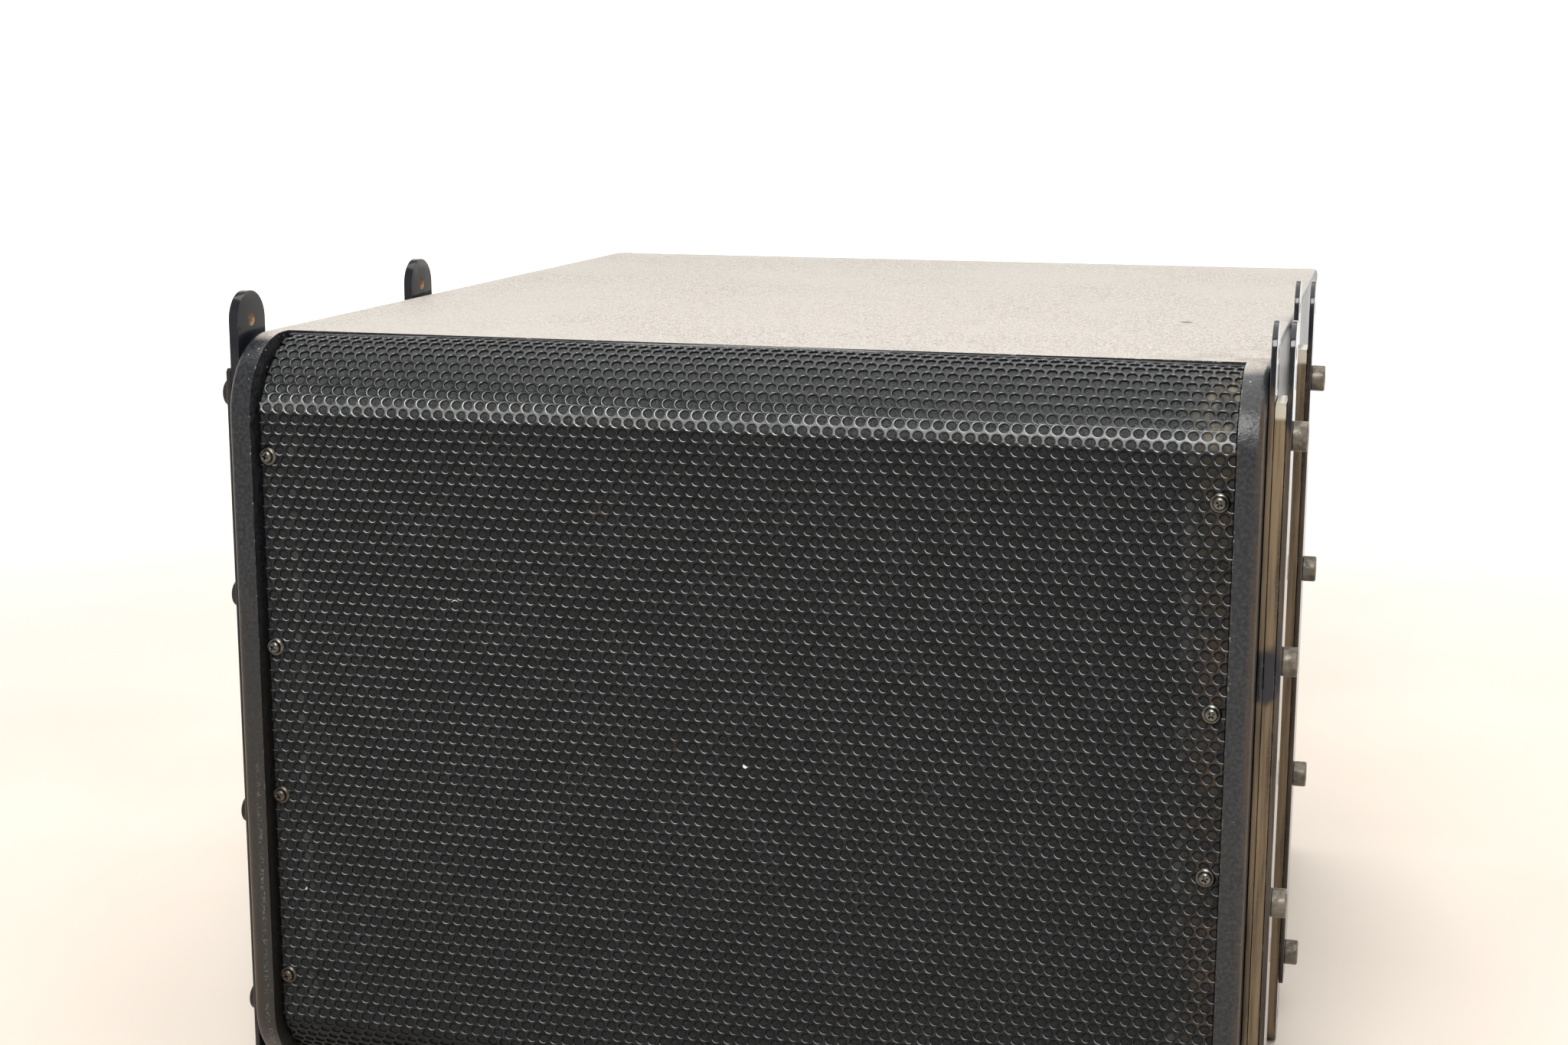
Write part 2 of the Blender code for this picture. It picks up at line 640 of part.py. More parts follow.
def woofer():
    centre = (0, MIDDLE)
    basket()
    front = BAFFLE_Y - FLANGE_THICKNESS - GAP
    inner, outer = SURROUND_OUTER + 0.0005, FLANGE_RADIUS - 0.001
    start = front - GASKET_THICKNESS
    ring = [(inner, start), (outer, start), (outer, front), (inner, front)]
    turned("woofer_gasket", ring, "Y", centre, LARGE_ROUND, GASKET)
    edge = BAFFLE_Y - 0.006
    profile = roll_profile(SURROUND_INNER, SURROUND_OUTER - 0.0003, 0.012, 0.0015, edge, 6)
    turned("woofer_surround", profile, "Y", centre, LARGE_ROUND, CLOTH)

    # Cone, dust cap and coil move together; the empty marks the slide's axis.
    axis = bpy.data.objects.new("woofer_slide_axis", None)
    axis.location = (0, BAFFLE_Y, MIDDLE)
    bpy.context.scene.collection.objects.link(axis)
    neck = COIL_RADIUS + COIL_WALL + GAP
    cone = [
        (CONE_RADIUS, -0.0075),
        (CONE_RADIUS, -0.0060),
        (0.120, 0.0340),
        (neck, CONE_DEPTH),
        (neck, CONE_DEPTH - CONE_WALL),
        (0.120, 0.0340 - CONE_WALL),
        (CONE_RADIUS - 0.004, -0.0075),
    ]
    turned("woofer_cone", cone, "Y", (0, 0), LARGE_ROUND, PAPER, parent=axis)
    steps = 4
    dome = []
    for i in range(steps + 1):
        angle = math.pi / 2 * i / steps
        dome.append((DUST_CAP_RADIUS * math.sin(angle), DUST_CAP_SEAT - DUST_CAP_HEIGHT * math.cos(angle)))
    inside = [(r * 0.97, a + 0.0012) for r, a in reversed(dome)]
    turned("woofer_dust_cap", dome + inside, "Y", (0, 0), SMALL_ROUND, PAPER, parent=axis)
    coil = [
        (COIL_RADIUS, COIL_START),
        (COIL_RADIUS + COIL_WALL, COIL_START),
        (COIL_RADIUS + COIL_WALL, COIL_END),
        (COIL_RADIUS, COIL_END),
    ]
    turned("woofer_voice_coil", coil, "Y", (0, 0), SMALL_ROUND, COPPER, parent=axis)

    inner, level = COIL_RADIUS + COIL_WALL + 0.0022, BAFFLE_Y + BASKET_DEPTH - 0.0115
    spider = corrugated_profile(inner, SPIDER_OUTER, 2, 0.0012, 0.0010, level)
    turned("woofer_spider", spider, "Y", centre, SMALL_ROUND, SPIDER_CLOTH)
    top = BAFFLE_Y + BASKET_DEPTH
    end = top + TOP_PLATE_THICKNESS
    ring = [(PLATE_BORE, top), (PLATE_RADIUS, top), (PLATE_RADIUS, end), (PLATE_BORE, end)]
    turned("woofer_top_plate", ring, "Y", centre, SMALL_ROUND, PLATED_STEEL)
    low = end + GAP
    high = low + MAGNET_THICKNESS
    ring = [(MAGNET_BORE, low), (MAGNET_RADIUS, low), (MAGNET_RADIUS, high), (MAGNET_BORE, high)]
    turned("woofer_magnet", ring, "Y", centre, LARGE_ROUND, FERRITE)
    plate = high + GAP
    yoke = [
        (VENT_RADIUS, top),
        (POLE_RADIUS, top),
        (POLE_RADIUS, plate),
        (PLATE_RADIUS, plate),
        (PLATE_RADIUS, plate + BACK_PLATE_THICKNESS - 0.003),
        (PLATE_RADIUS - 0.004, plate + BACK_PLATE_THICKNESS),
        (VENT_RADIUS, plate + BACK_PLATE_THICKNESS),
    ]
    turned("woofer_back_plate", yoke, "Y", centre, SMALL_ROUND, PLATED_STEEL)


# ------------------------------------------------------------------ back and sides
def inputs():
    front = BACK - BACK_INSET + GAP
    face = front + INPUT_PLATE_THICKNESS
    holes = [circle(SOCKET_HOLE_RADIUS, 16, place) for place in socket_places()]
    outline = rounded_rectangle(INPUT_HALF_WIDTH, INPUT_HALF_HEIGHT, 0.006, 3, (0, MIDDLE + INPUT_Z_OFFSET))
    prism("input_plate", "Y", outline, front, face, STRAP_PAINT, holes)
    seat = face + GAP
    floor = seat - SOCKET_BODY_LENGTH
    profile = [
        (SOCKET_BORE, seat + 0.0060),
        (SOCKET_RADIUS, seat + 0.0060),
        (SOCKET_FLANGE_RADIUS, seat + 0.0030),
        (SOCKET_FLANGE_RADIUS, seat),
        (SOCKET_RADIUS, seat),
        (SOCKET_RADIUS, floor),
        (0, floor),
        (0, floor + SOCKET_FLOOR),
        (SOCKET_BORE, floor + SOCKET_FLOOR),
    ]
    for number, place in enumerate(socket_places(), 1):
        turned(f"input_socket_{number}", profile, "Y", place, 16, PLASTIC)


def handle(name, sign):
    """A pressed dish, open to the side, with a bar across its mouth."""
    centre = (FACE + HANDLE_CENTRE, MIDDLE)
    face = HALF_WIDTH + GAP

    def outline(grow, radius):
        return rounded_rectangle(HANDLE_HALF_LENGTH + grow, HANDLE_HALF_HEIGHT + grow, radius, 3, centre)

    sheet = HANDLE_SHEET
    outer = [
        (face + sheet, outline(HANDLE_FLANGE, 0.016)),
        (face, outline(HANDLE_FLANGE, 0.016)),
        (face, outline(0, 0.012)),
        (face - HANDLE_DEPTH, outline(-HANDLE_TAPER, 0.010)),
    ]
    inner = [
        (face + sheet, outline(-sheet, 0.010)),
        (face - HANDLE_DEPTH + sheet, outline(-sheet - HANDLE_TAPER, 0.008)),
    ]
    bm = bmesh.new()
    rings = []
    for x, points in outer + inner:
        rings.append([bm.verts.new((sign * x, a, b)) for a, b in points])
    for lower, upper in ((0, 1), (1, 2), (2, 3), (0, 4), (4, 5)):
        join_rings(bm, rings[lower], rings[upper])
    bm.faces.new(rings[3])
    bm.faces.new(rings[5])
    dish = finish(name, bm, STRAP_PAINT)
    bar_x = sign * (face - HANDLE_BAR_INSET)
    reach = HANDLE_HALF_HEIGHT - sheet / 2
    bar = cylinder("Z", (bar_x, centre[0]), HANDLE_BAR_RADIUS, MIDDLE - reach, MIDDLE + reach, 16)
    combine(dish, tool(f"{name}_bar_tool", bar), "UNION")


def main():
    clear_scene()
    cabinet()
    grille_parts()
    rigging()
    woofer()
    inputs()
    handle("left_handle", -1)
    handle("right_handle", 1)


main()
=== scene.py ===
"""Looks of the line array speaker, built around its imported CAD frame.

Places come from the frame's boxes, in metres. X runs across the cabinet, -Y out of the grille and Z up.
"""

import math

import bmesh
import bpy
import numpy as np
from mathutils import Matrix, Vector


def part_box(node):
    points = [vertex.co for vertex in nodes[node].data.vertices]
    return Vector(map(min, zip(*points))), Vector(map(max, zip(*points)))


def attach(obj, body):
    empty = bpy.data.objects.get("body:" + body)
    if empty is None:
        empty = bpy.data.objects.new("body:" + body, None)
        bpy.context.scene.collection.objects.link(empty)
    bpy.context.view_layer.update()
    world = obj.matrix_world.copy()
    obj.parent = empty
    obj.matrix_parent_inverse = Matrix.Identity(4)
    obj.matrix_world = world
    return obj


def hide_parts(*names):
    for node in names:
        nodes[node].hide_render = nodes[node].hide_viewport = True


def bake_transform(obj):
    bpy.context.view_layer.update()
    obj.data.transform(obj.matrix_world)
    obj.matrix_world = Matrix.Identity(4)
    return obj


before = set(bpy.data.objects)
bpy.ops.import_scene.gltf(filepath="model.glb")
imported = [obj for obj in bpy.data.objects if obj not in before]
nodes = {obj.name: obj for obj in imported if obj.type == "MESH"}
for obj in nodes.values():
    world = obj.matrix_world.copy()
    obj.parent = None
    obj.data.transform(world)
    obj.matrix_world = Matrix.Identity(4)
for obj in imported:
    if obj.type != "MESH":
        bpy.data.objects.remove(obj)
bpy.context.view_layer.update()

# ---------- places read from the frame
MM = 0.001
side_low, side_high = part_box("right_side_panel")
BOTTOM, TOP = side_low.z, side_high.z
MIDDLE = (BOTTOM + TOP) / 2
HALF_WIDTH = side_high.x
INNER_X = side_low.x
grille_low, grille_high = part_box("grille")
FACE = grille_low.y
GRILLE_HALF = grille_high.x
GRILLE_EDGES = (-GRILLE_HALF + 1.5 * MM, GRILLE_HALF + 1.2 * MM)   # the sheet sits a little to the right

# Perforated sheet: 6.35 mm holes on 7.94 mm centres, with rows across the cabinet.
PITCH = 7.9375 * MM
ROW = PITCH * math.sqrt(3) / 2
HOLE = 3.175 * MM
LIP = 0.55 * MM              # width of the rounded lip of each hole
LIP_DEPTH = 0.32 * MM        # and how far behind the face it ends
SHOULDER = 0.12 * MM         # flat ring that keeps the sheet's face flat up to its lips
SHEET = 1.6 * MM
FLAT_ROWS = 30               # rows from mid height to the first fold
FOLD_ROWS = 10
COLUMN_START = 5.59 * MM     # sideways place of the even rows' holes
FLAT_HALF = 207.3 * MM       # from mid height to the first fold
FOLDS = (                    # each flat's length in mm, its lean in degrees and the bend into it in mm
    (6.9, 14, 1.2),
    (17.2, 32.5, 9.0),
    (21.4, 46, 8.0),
    (13.7, 61, 6.0),
    (12.5, 79, 5.0),
)
DISH = 4 * MM                # the flat part is pushed in by this much at its middle
BOW = 1.4 * MM               # and the folds bulge up and down by this much at their middle
RIPPLE = 0.25 * MM           # small waves in the sheet
SIDES = 12                   # of each hole
GLUE_X = 287.5 * MM          # sideways place of the foam's glue stripes
BOLT_OFFSETS = (-213.1 * MM, -76.2 * MM, 76.2 * MM, 213.1 * MM)   # along each strap, from mid height
HANDS = (("left", -1), ("right", 1))
ENDS = ("front", "rear")
FLECKS = (                   # centre and radius of each white speck on the grille
    ((-0.177, 0, 0.3685), 2.8 * MM),
    ((0.016, 0, 0.275), 1.6 * MM),
)
TOP_MARK, TOP_MARK_RADIUS = (0.2575, -0.1064, 0), 5 * MM   # a small dark mark on the top
WELD = 0.01 * MM             # corners closer than this are one corner

# Colours, in linear light. A pair is the darker and the lighter end of a mottle.
PAINT_BLACK = (0.008, 0.009, 0.011), (0.027, 0.029, 0.033)
PAINT_WARM = (0.0165, 0.0145, 0.0105)
PAINT_SMUDGE = (0.055, 0.051, 0.046)
PAINT_GRIME = (0.058, 0.037, 0.022)
PAINT_CHIP_AND_GLINT = (0.50, 0.49, 0.46)
# The top face's colour: partly dust, partly painted glare.
DUST_AND_GLARE = (0.185, 0.165, 0.142), (0.46, 0.43, 0.395)
DUST_CLOUD = (0.37, 0.345, 0.315)
DUST_STAIN = (0.17, 0.13, 0.095)
DUST_MARK = (0.04, 0.04, 0.05)
SHEET_BLACK = (0.008, 0.009, 0.010), (0.022, 0.0235, 0.0255)
SHEET_RUST = (0.080, 0.052, 0.031)
SHEET_LEFT_SHADE = (0.003, 0.003, 0.0035)
SHEET_BARE_AND_HIGHLIGHT = (0.74, 0.78, 0.79)
RIM_METAL, RIM_BLACK = (0.085, 0.088, 0.090), (0.014, 0.015, 0.016)
RIM_PAINTED_HIGHLIGHT = (0.48, 0.49, 0.50)
FLECK_WHITE = (0.75, 0.75, 0.72)
FOAM_GREY = (0.01222, 0.013, 0.01352), (0.07708, 0.082, 0.08364)
FOAM_PATCH = (0.062, 0.068, 0.07)
FOAM_PAINTED_SHADE = (0.004, 0.0045, 0.005)
FOAM_GLUE = (0.14, 0.14, 0.135)
FOAM_DUST = (0.036, 0.030, 0.023), (0.17, 0.155, 0.12)
STRAP_BLACK = (0.006, 0.007, 0.010), (0.013, 0.014, 0.018)
STRAP_BROWN = (0.036, 0.024, 0.013), (0.190, 0.136, 0.080)
STRAP_GRAIN = (0.150, 0.108, 0.064)
STRAP_CUT = (0.42, 0.38, 0.31)
STRAP_WORN_AND_HIGHLIGHT = (0.30, 0.29, 0.27)
STRAP_BORE = (0.30, 0.20, 0.13)
BOLT_WORN = (0.36, 0.34, 0.30)
FLOOR_NEAR = (0.69, 0.62, 0.55), (0.73, 0.66, 0.59)
FLOOR_FAR = (0.88, 0.87, 0.86)

# ---------- materials
class Shader:
    """A Principled material that is built up node by node."""

    def __init__(self, name, **values):
        self.material = bpy.data.materials.new(name)
        self.material.use_nodes = True
        self.tree = self.material.node_tree
        self.surface = self.tree.nodes["Principled BSDF"]
        for key, value in values.items():
            self.feed(self.surface.inputs[key.replace("_", " ")], value)
        self.place = self.node("ShaderNodeTexCoord").outputs["Object"]

    def feed(self, socket, value):
        """Link or set an input. A colour may leave its alpha out."""
        if isinstance(value, bpy.types.NodeSocket):
            self.tree.links.new(value, socket)
        elif socket.type == "RGBA":
            socket.default_value = (*value, 1.0)[:4]
        else:
            socket.default_value = value

    def node(self, kind, inputs=None, **settings):
        made = self.tree.nodes.new(kind)
        for key, value in settings.items():
            setattr(made, key, value)
        for key, value in (inputs or {}).items():
            self.feed(made.inputs[key], value)
        return made

    def stretched(self, scale):
        """The object's own places, scaled on each axis."""
        return self.node("ShaderNodeMapping", {"Vector": self.place, "Scale": scale}).outputs[0]

    def noise(self, per_metre, detail=3.0, roughness=0.55, stretch=(1, 1, 1), distortion=0.0):
        inputs = {"Vector": self.stretched(stretch), "Scale": per_metre, "Detail": detail}
        inputs |= {"Roughness": roughness, "Distortion": distortion}
        return self.node("ShaderNodeTexNoise", inputs).outputs[0]

    def cells(self, per_metre):
        """How far it is to the nearest of many scattered points."""
        inputs = {"Vector": self.place, "Scale": per_metre}
        return self.node("ShaderNodeTexVoronoi", inputs).outputs["Distance"]

    def rise(self, value, low, high, start=0.0, end=1.0):
        """A smooth step of a value from low to high."""
        inputs = {"Value": value, "From Min": low, "From Max": high, "To Min": start, "To Max": end}
        return self.node("ShaderNodeMapRange", inputs, interpolation_type="SMOOTHSTEP").outputs[0]

    def ramp(self, axis, low, high, start=0.0, end=1.0):
        """A smooth step along an axis."""
        return self.rise(self.axis(axis), low, high, start, end)

    def patches(self, low, high, *noise):
        """A mask of patches, 1 where a noise is above high and 0 where it is below low."""
        return self.rise(self.noise(*noise), low, high)

    def maths(self, operation, first, second=0.0):
        return self.node("ShaderNodeMath", {0: first, 1: second}, operation=operation).outputs[0]

    def inverse(self, mask):
        return self.maths("SUBTRACT", 1.0, mask)

    def distance(self, value, level):
        """How far a value is from a level, without its sign."""
        return self.maths("ABSOLUTE", self.maths("SUBTRACT", value, level))

    def product(self, *values):
        result = values[0]
        for value in values[1:]:
            result = self.maths("MULTIPLY", result, value)
        return result

    def most(self, *values):
        result = values[0]
        for value in values[1:]:
            result = self.maths("MAXIMUM", result, value)
        return result

    def mix(self, factor, first, second):
        """A blend of two colours."""
        return self.node("ShaderNodeMix", {0: factor, 6: first, 7: second}, data_type="RGBA").outputs[2]

    def axis(self, name):
        return self.node("ShaderNodeSeparateXYZ", {0: self.place}).outputs[name]

    def facing(self, name):
        """How far the surface faces along an axis."""
        normal = self.node("ShaderNodeNewGeometry").outputs["Normal"]
        return self.node("ShaderNodeSeparateXYZ", {0: normal}).outputs[name]

    def edges(self, radius=0.8 * MM, low=0.03, high=0.15):
        """1 on the corners of the shape, 0 on its flats."""
        soft = self.node("ShaderNodeBevel", {"Radius": radius}, samples=4).outputs[0]
        hard = self.node("ShaderNodeNewGeometry").outputs["Normal"]
        along = self.node("ShaderNodeVectorMath", {0: soft, 1: hard}, operation="DOT_PRODUCT").outputs["Value"]
        return self.rise(self.inverse(along), low, high)

    def near(self, centre, radius, axes):
        """1 close to a point, measured along the given axes only."""
        inputs = {0: self.stretched(axes), 1: centre}
        away = self.node("ShaderNodeVectorMath", inputs, operation="DISTANCE").outputs["Value"]
        return self.rise(away, radius, radius * 0.7)

    def attribute(self, name):
        return self.node("ShaderNodeAttribute", attribute_name=name).outputs["Fac"]

    def bump(self, height, distance, strength):
        inputs = {"Height": height, "Distance": distance, "Strength": strength}
        return self.node("ShaderNodeBump", inputs).outputs[0]

    def use(self, **sockets):
        """Feed the surface, and hand over the finished material."""
        for key, value in sockets.items():
            self.feed(self.surface.inputs[key.replace("_", " ")], value)
        return self.material


def cabinet_paint():
    """Stippled black paint: dusty on top and paler there with painted glare, glossy and chipped on its rounded
    corners, with painted edge highlights and painted glints.
    """
    s = Shader("cabinet_paint", Specular_IOR_Level=0.36)
    stipple = s.noise(420, 3.0, 0.6)
    lumps = s.noise(150)
    grain = s.noise(780, 3.0, 0.6)
    cloud = s.noise(7, 4.0, 0.6)

    # Black paint, warmer in the lower left.
    paint = s.mix(s.rise(stipple, 0.35, 0.7), *PAINT_BLACK)
    low = s.ramp("Z", MIDDLE + 0.14, MIDDLE - 0.02)
    warm = s.product(s.ramp("X", -0.20, -0.30), s.rise(cloud, 0.35, 0.65, 0.5, 0.9), low)
    paint = s.mix(warm, paint, PAINT_WARM)

    # Dust on the top face, stained at the right front corner. The top's pale colour is partly dust and partly
    # painted glare, the sheen black paint shows at a grazing angle.
    dusty = s.mix(s.rise(grain, 0.38, 0.60), *DUST_AND_GLARE)
    dusty = s.mix(s.rise(cloud, 0.3, 0.75, 0.0, 0.7), dusty, DUST_CLOUD)
    corner = s.product(s.ramp("X", 0.24, 0.325), s.ramp("Y", -0.20, -0.33))
    stain = s.product(corner, s.patches(0.40, 0.66, 34, 5.0, 0.65))
    dusty = s.mix(s.product(stain, 0.75), dusty, DUST_STAIN)
    mark = s.near(TOP_MARK, TOP_MARK_RADIUS, (1, 1, 0))
    dusty = s.mix(s.product(mark, 0.95), dusty, DUST_MARK)
    up = s.product(s.rise(s.facing("Z"), 0.90, 0.995), s.ramp("Z", TOP - 60 * MM, TOP - 40 * MM))
    not_up = s.inverse(up)
    worn_through = s.patches(0.62, 0.72, 180, 4.0, 0.65)
    dust = s.product(up, s.inverse(s.product(worn_through, 0.35)))
    colour = s.mix(dust, paint, dusty)

    # Smudges everywhere else, and grime on the fronts of the side panels.
    smudge = s.product(s.patches(0.56, 0.74, 26, 5.0, 0.7), 0.35)
    colour = s.mix(s.product(smudge, not_up), colour, PAINT_SMUDGE)
    outer = s.rise(s.distance(s.axis("X"), 0.0), HALF_WIDTH - 6 * MM, HALF_WIDTH - 1 * MM)
    cheek = s.product(s.ramp("Y", FACE + 20 * MM, FACE + 5 * MM), s.most(low, s.ramp("X", 0.0, 0.1)))
    grime = s.product(outer, cheek, s.patches(0.34, 0.56, 45, 5.0, 0.7, (1, 1, 0.3)), 0.7)
    colour = s.mix(s.product(grime, not_up), colour, PAINT_GRIME)

    # Chips along the edges, which are wear and painted edge highlight, white specks on the upper arcs, which are
    # painted glints, and a speckled line down the left panel's inner edge.
    less_below = s.ramp("Z", MIDDLE - 0.10, MIDDLE + 0.15, 0.15, 1.0)
    chips = s.product(s.edges(1.6 * MM, 0.02, 0.10), s.patches(0.57, 0.64, 170, 5.0, 0.7), less_below)
    glint_specks = s.rise(s.cells(150), 0.11, 0.06)
    upper_arc = s.ramp("Z", MIDDLE + 0.12, MIDDLE + 0.20, 0.12, 1.0)
    chips = s.most(chips, s.product(glint_specks, s.patches(0.54, 0.60, 22, 2.0), upper_arc))
    cheek_line = s.rise(s.distance(s.axis("X"), -INNER_X - 5 * MM), 2.4 * MM, 0.8 * MM)
    lower_front = s.product(s.ramp("Z", MIDDLE, MIDDLE - 0.07), s.ramp("Y", FACE + 30 * MM, FACE))
    speckle = s.product(cheek_line, lower_front, s.patches(0.54, 0.62, 760, 4.0, 0.7))
    colour = s.mix(s.most(chips, s.product(speckle, 0.25)), colour, PAINT_CHIP_AND_GLINT)

    rough = s.most(s.rise(cloud, 0.2, 0.8, 0.26, 0.38), s.product(up, 0.55))
    height = s.maths("ADD", stipple, lumps)
    return s.use(Base_Color=colour, Roughness=rough, Normal=s.bump(height, 0.45 * MM, 0.7))


def grille_paint(name, gloss, rim_metal):
    """Black sheet, rubbed bare past its upper fold and painted there with the highlight of its bend, with painted
    highlights as pale lips where its holes' lower edges face up.
    """
    s = Shader(name, Specular_IOR_Level=gloss)
    rim = s.rise(s.attribute("rim"), 0.35, 0.95)
    past = s.attribute("past_fold")
    patchy = s.noise(60, 4.0, 0.6)
    fine = s.noise(420, 3.0, 0.6)
    uneven = s.rise(fine, 0.3, 0.6, 0.6, 1.0)

    # Bare webs and lips just past the upper fold: worn paint, and painted highlight where the bend reflects the key
    # light.
    upper = s.ramp("Z", MIDDLE, MIDDLE + FLAT_HALF / 2)
    start = s.product(s.rise(past, 0.2 * MM, 0.8 * MM), upper)
    webs = s.product(start, s.rise(past, 13 * MM, 4 * MM), 0.20)
    lips = s.product(start, s.rise(past, 22 * MM, 9 * MM), rim, 0.26)
    bare_and_highlight = s.product(s.most(webs, lips), s.rise(fine, 0.28, 0.58, 0.5, 1.0), s.rise(patchy, 0.25, 0.5, 0.6, 1.0))

    # Black paint, rusty in spots and along its right side.
    base = s.mix(s.rise(patchy, 0.3, 0.7), *SHEET_BLACK)
    rust_side = s.ramp("X", 286 * MM, 308 * MM)
    rust = s.product(rust_side, s.patches(0.40, 0.64, 48, 5.0, 0.7), 0.55)
    rust_spots = s.product(s.patches(0.64, 0.76, 21, 4.0, 0.7), 0.6)
    colour = s.mix(s.most(rust, rust_spots), base, SHEET_RUST)
    colour = s.mix(s.product(rim, uneven), colour, RIM_METAL if rim_metal else RIM_BLACK)
    # Painted shade: near black along the sheet's left edge, in the shadow of the left side panel.
    edge = s.ramp("X", -304.5 * MM, -309.5 * MM)
    colour = s.mix(edge, colour, SHEET_LEFT_SHADE)

    # Painted highlights: pale crescents on the flat part's lips where they face up, turning to the right across the
    # sheet, stronger higher up and fading at the left edge.
    flat = s.rise(past, 2 * MM, 0.3 * MM)
    sideways = s.ramp("X", -0.3, 0.3, 0.0, 0.7)
    upward = s.maths("ADD", s.facing("Z"), s.product(sideways, s.maths("SUBTRACT", s.facing("X"), 0.22)))
    share = s.product(s.ramp("Z", BOTTOM, TOP, 0.46, 1.15), s.ramp("X", -310.5 * MM, -303 * MM))
    painted_crescents = s.product(rim, s.rise(upward, 0.36, 0.76), flat, share, uneven)
    painted_crescents = s.product(painted_crescents, s.rise(s.noise(95), 0.32, 0.66, 0.62, 1.12))
    colour = s.mix(painted_crescents, colour, RIM_PAINTED_HIGHLIGHT)
    colour = s.mix(bare_and_highlight, colour, SHEET_BARE_AND_HIGHLIGHT)

    # A few chips and the white specks.
    chips = s.rise(s.cells(42), 0.055, 0.035)
    chips = s.product(chips, s.patches(0.63, 0.66, 9, 2.0))
    for centre, radius in FLECKS:
        chips = s.most(chips, s.near(centre, radius, (1, 0, 1)))
    colour = s.mix(chips, colour, FLECK_WHITE)
    rough = s.maths("ADD", s.rise(s.noise(34, 4.0, 0.6), 0.25, 0.75, 0.20, 0.28), s.product(bare_and_highlight, 0.4))
    metallic = s.most(s.product(rim, rim_metal), s.product(bare_and_highlight, 0.5))
    orange_peel = s.bump(s.noise(1500, 2.0), 0.04 * MM, 0.5)
    return s.use(Base_Color=colour, Roughness=rough, Metallic=metallic, Normal=orange_peel)


def foam(name, bright):
    """Open-cell foam, greyed by dust, with paler glue stripes near the sides and painted shade below the upper
    fold.
    """
    s = Shader(name, Specular_IOR_Level=0.10, Sheen_Weight=0.08, Sheen_Roughness=0.6)
    pores = s.noise(900, 4.0, 0.7)
    dark, pale = (tuple(bright * x for x in tone) for tone in FOAM_GREY)
    colour = s.mix(s.rise(pores, 0.32, 0.70), dark, pale)
    colour = s.mix(s.product(s.patches(0.5, 0.75, 38, 3.0, 0.6), 0.3), colour, FOAM_PATCH)
    # Painted shade: darker below the upper fold, where the overhead light does not reach the foam.
    below = s.ramp("Z", MIDDLE + FLAT_HALF + 3 * MM, MIDDLE + FLAT_HALF - 3 * MM, 0.0, 0.68)
    colour = s.mix(below, colour, FOAM_PAINTED_SHADE)
    off_stripe = s.distance(s.distance(s.axis("X"), 0.0), GLUE_X)
    stripe = s.product(s.rise(off_stripe, 4.5 * MM, 1.5 * MM), s.patches(0.42, 0.6, 70), 0.20)
    colour = s.mix(stripe, colour, FOAM_GLUE)
    dust = s.product(s.ramp("X", 280 * MM, 303 * MM), s.patches(0.42, 0.60, 75, 4.0, 0.7))
    height = s.distance(s.axis("Z"), MIDDLE)
    beige = s.mix(s.rise(height, FLAT_HALF - 2 * MM, FLAT_HALF + 6 * MM), *FOAM_DUST)
    colour = s.mix(dust, colour, beige)
    rough = s.rise(pores, 0.2, 0.8, 0.85, 1.0)
    return s.use(Base_Color=colour, Roughness=rough, Normal=s.bump(pores, 0.8 * MM, 0.9))


def strap_paint(name, dusty, cut=0.0):
    """Glossy black coat on steel. Where it is dusty, the front edge is rusty brown with black patches."""
    s = Shader(name, Specular_IOR_Level=0.32)
    grain = s.noise(700, 3.0, 0.6)
    black = s.mix(s.patches(0.3, 0.7, 24, 4.0), *STRAP_BLACK)
    worn = s.product(s.edges(), s.patches(0.50, 0.64, 85, 5.0, 0.7))
    front = s.rise(s.facing("Y"), -0.45, -0.85)
    blotch = s.patches(0.62, 0.58, 13, 3.0, 0.5, (1, 1, 0.55))
    brown = s.mix(s.patches(0.36, 0.64, 150, 5.0, 0.65, (1, 1, 0.04)), *STRAP_BROWN)
    brown = s.mix(s.rise(grain, 0.45, 0.75, 0.0, 0.6), brown, STRAP_GRAIN)
    below = s.ramp("Z", TOP - 6 * MM, TOP - 22 * MM)
    all_brown = s.ramp("Z", MIDDLE + 0.03, MIDDLE - 0.03, 0.0, 0.92)
    cover = s.product(front, s.most(blotch, all_brown), below, dusty)
    colour = s.mix(cover, black, brown)
    end_face = s.most(front, s.rise(s.facing("Z"), 0.5, 0.9))
    top_cut = s.product(s.ramp("Z", TOP - 30 * MM, TOP - 27 * MM), end_face, cut)
    colour = s.mix(top_cut, colour, STRAP_CUT)
    # Pale edges, partly wear and partly painted edge highlight.
    colour = s.mix(s.product(worn, 0.8), colour, STRAP_WORN_AND_HIGHLIGHT)
    smear = s.noise(40, 4.0, 0.6, (1, 1, 0.3))
    rough = s.most(s.rise(smear, 0.3, 0.75, 0.10, 0.20), s.product(cover, 0.6))
    bore = s.product(s.attribute("bore"), s.rise(grain, 0.3, 0.6, 0.6, 1.0))
    colour = s.mix(bore, colour, STRAP_BORE)
    return s.use(Base_Color=colour, Roughness=rough, Normal=s.bump(grain, 0.05 * MM, 0.4))


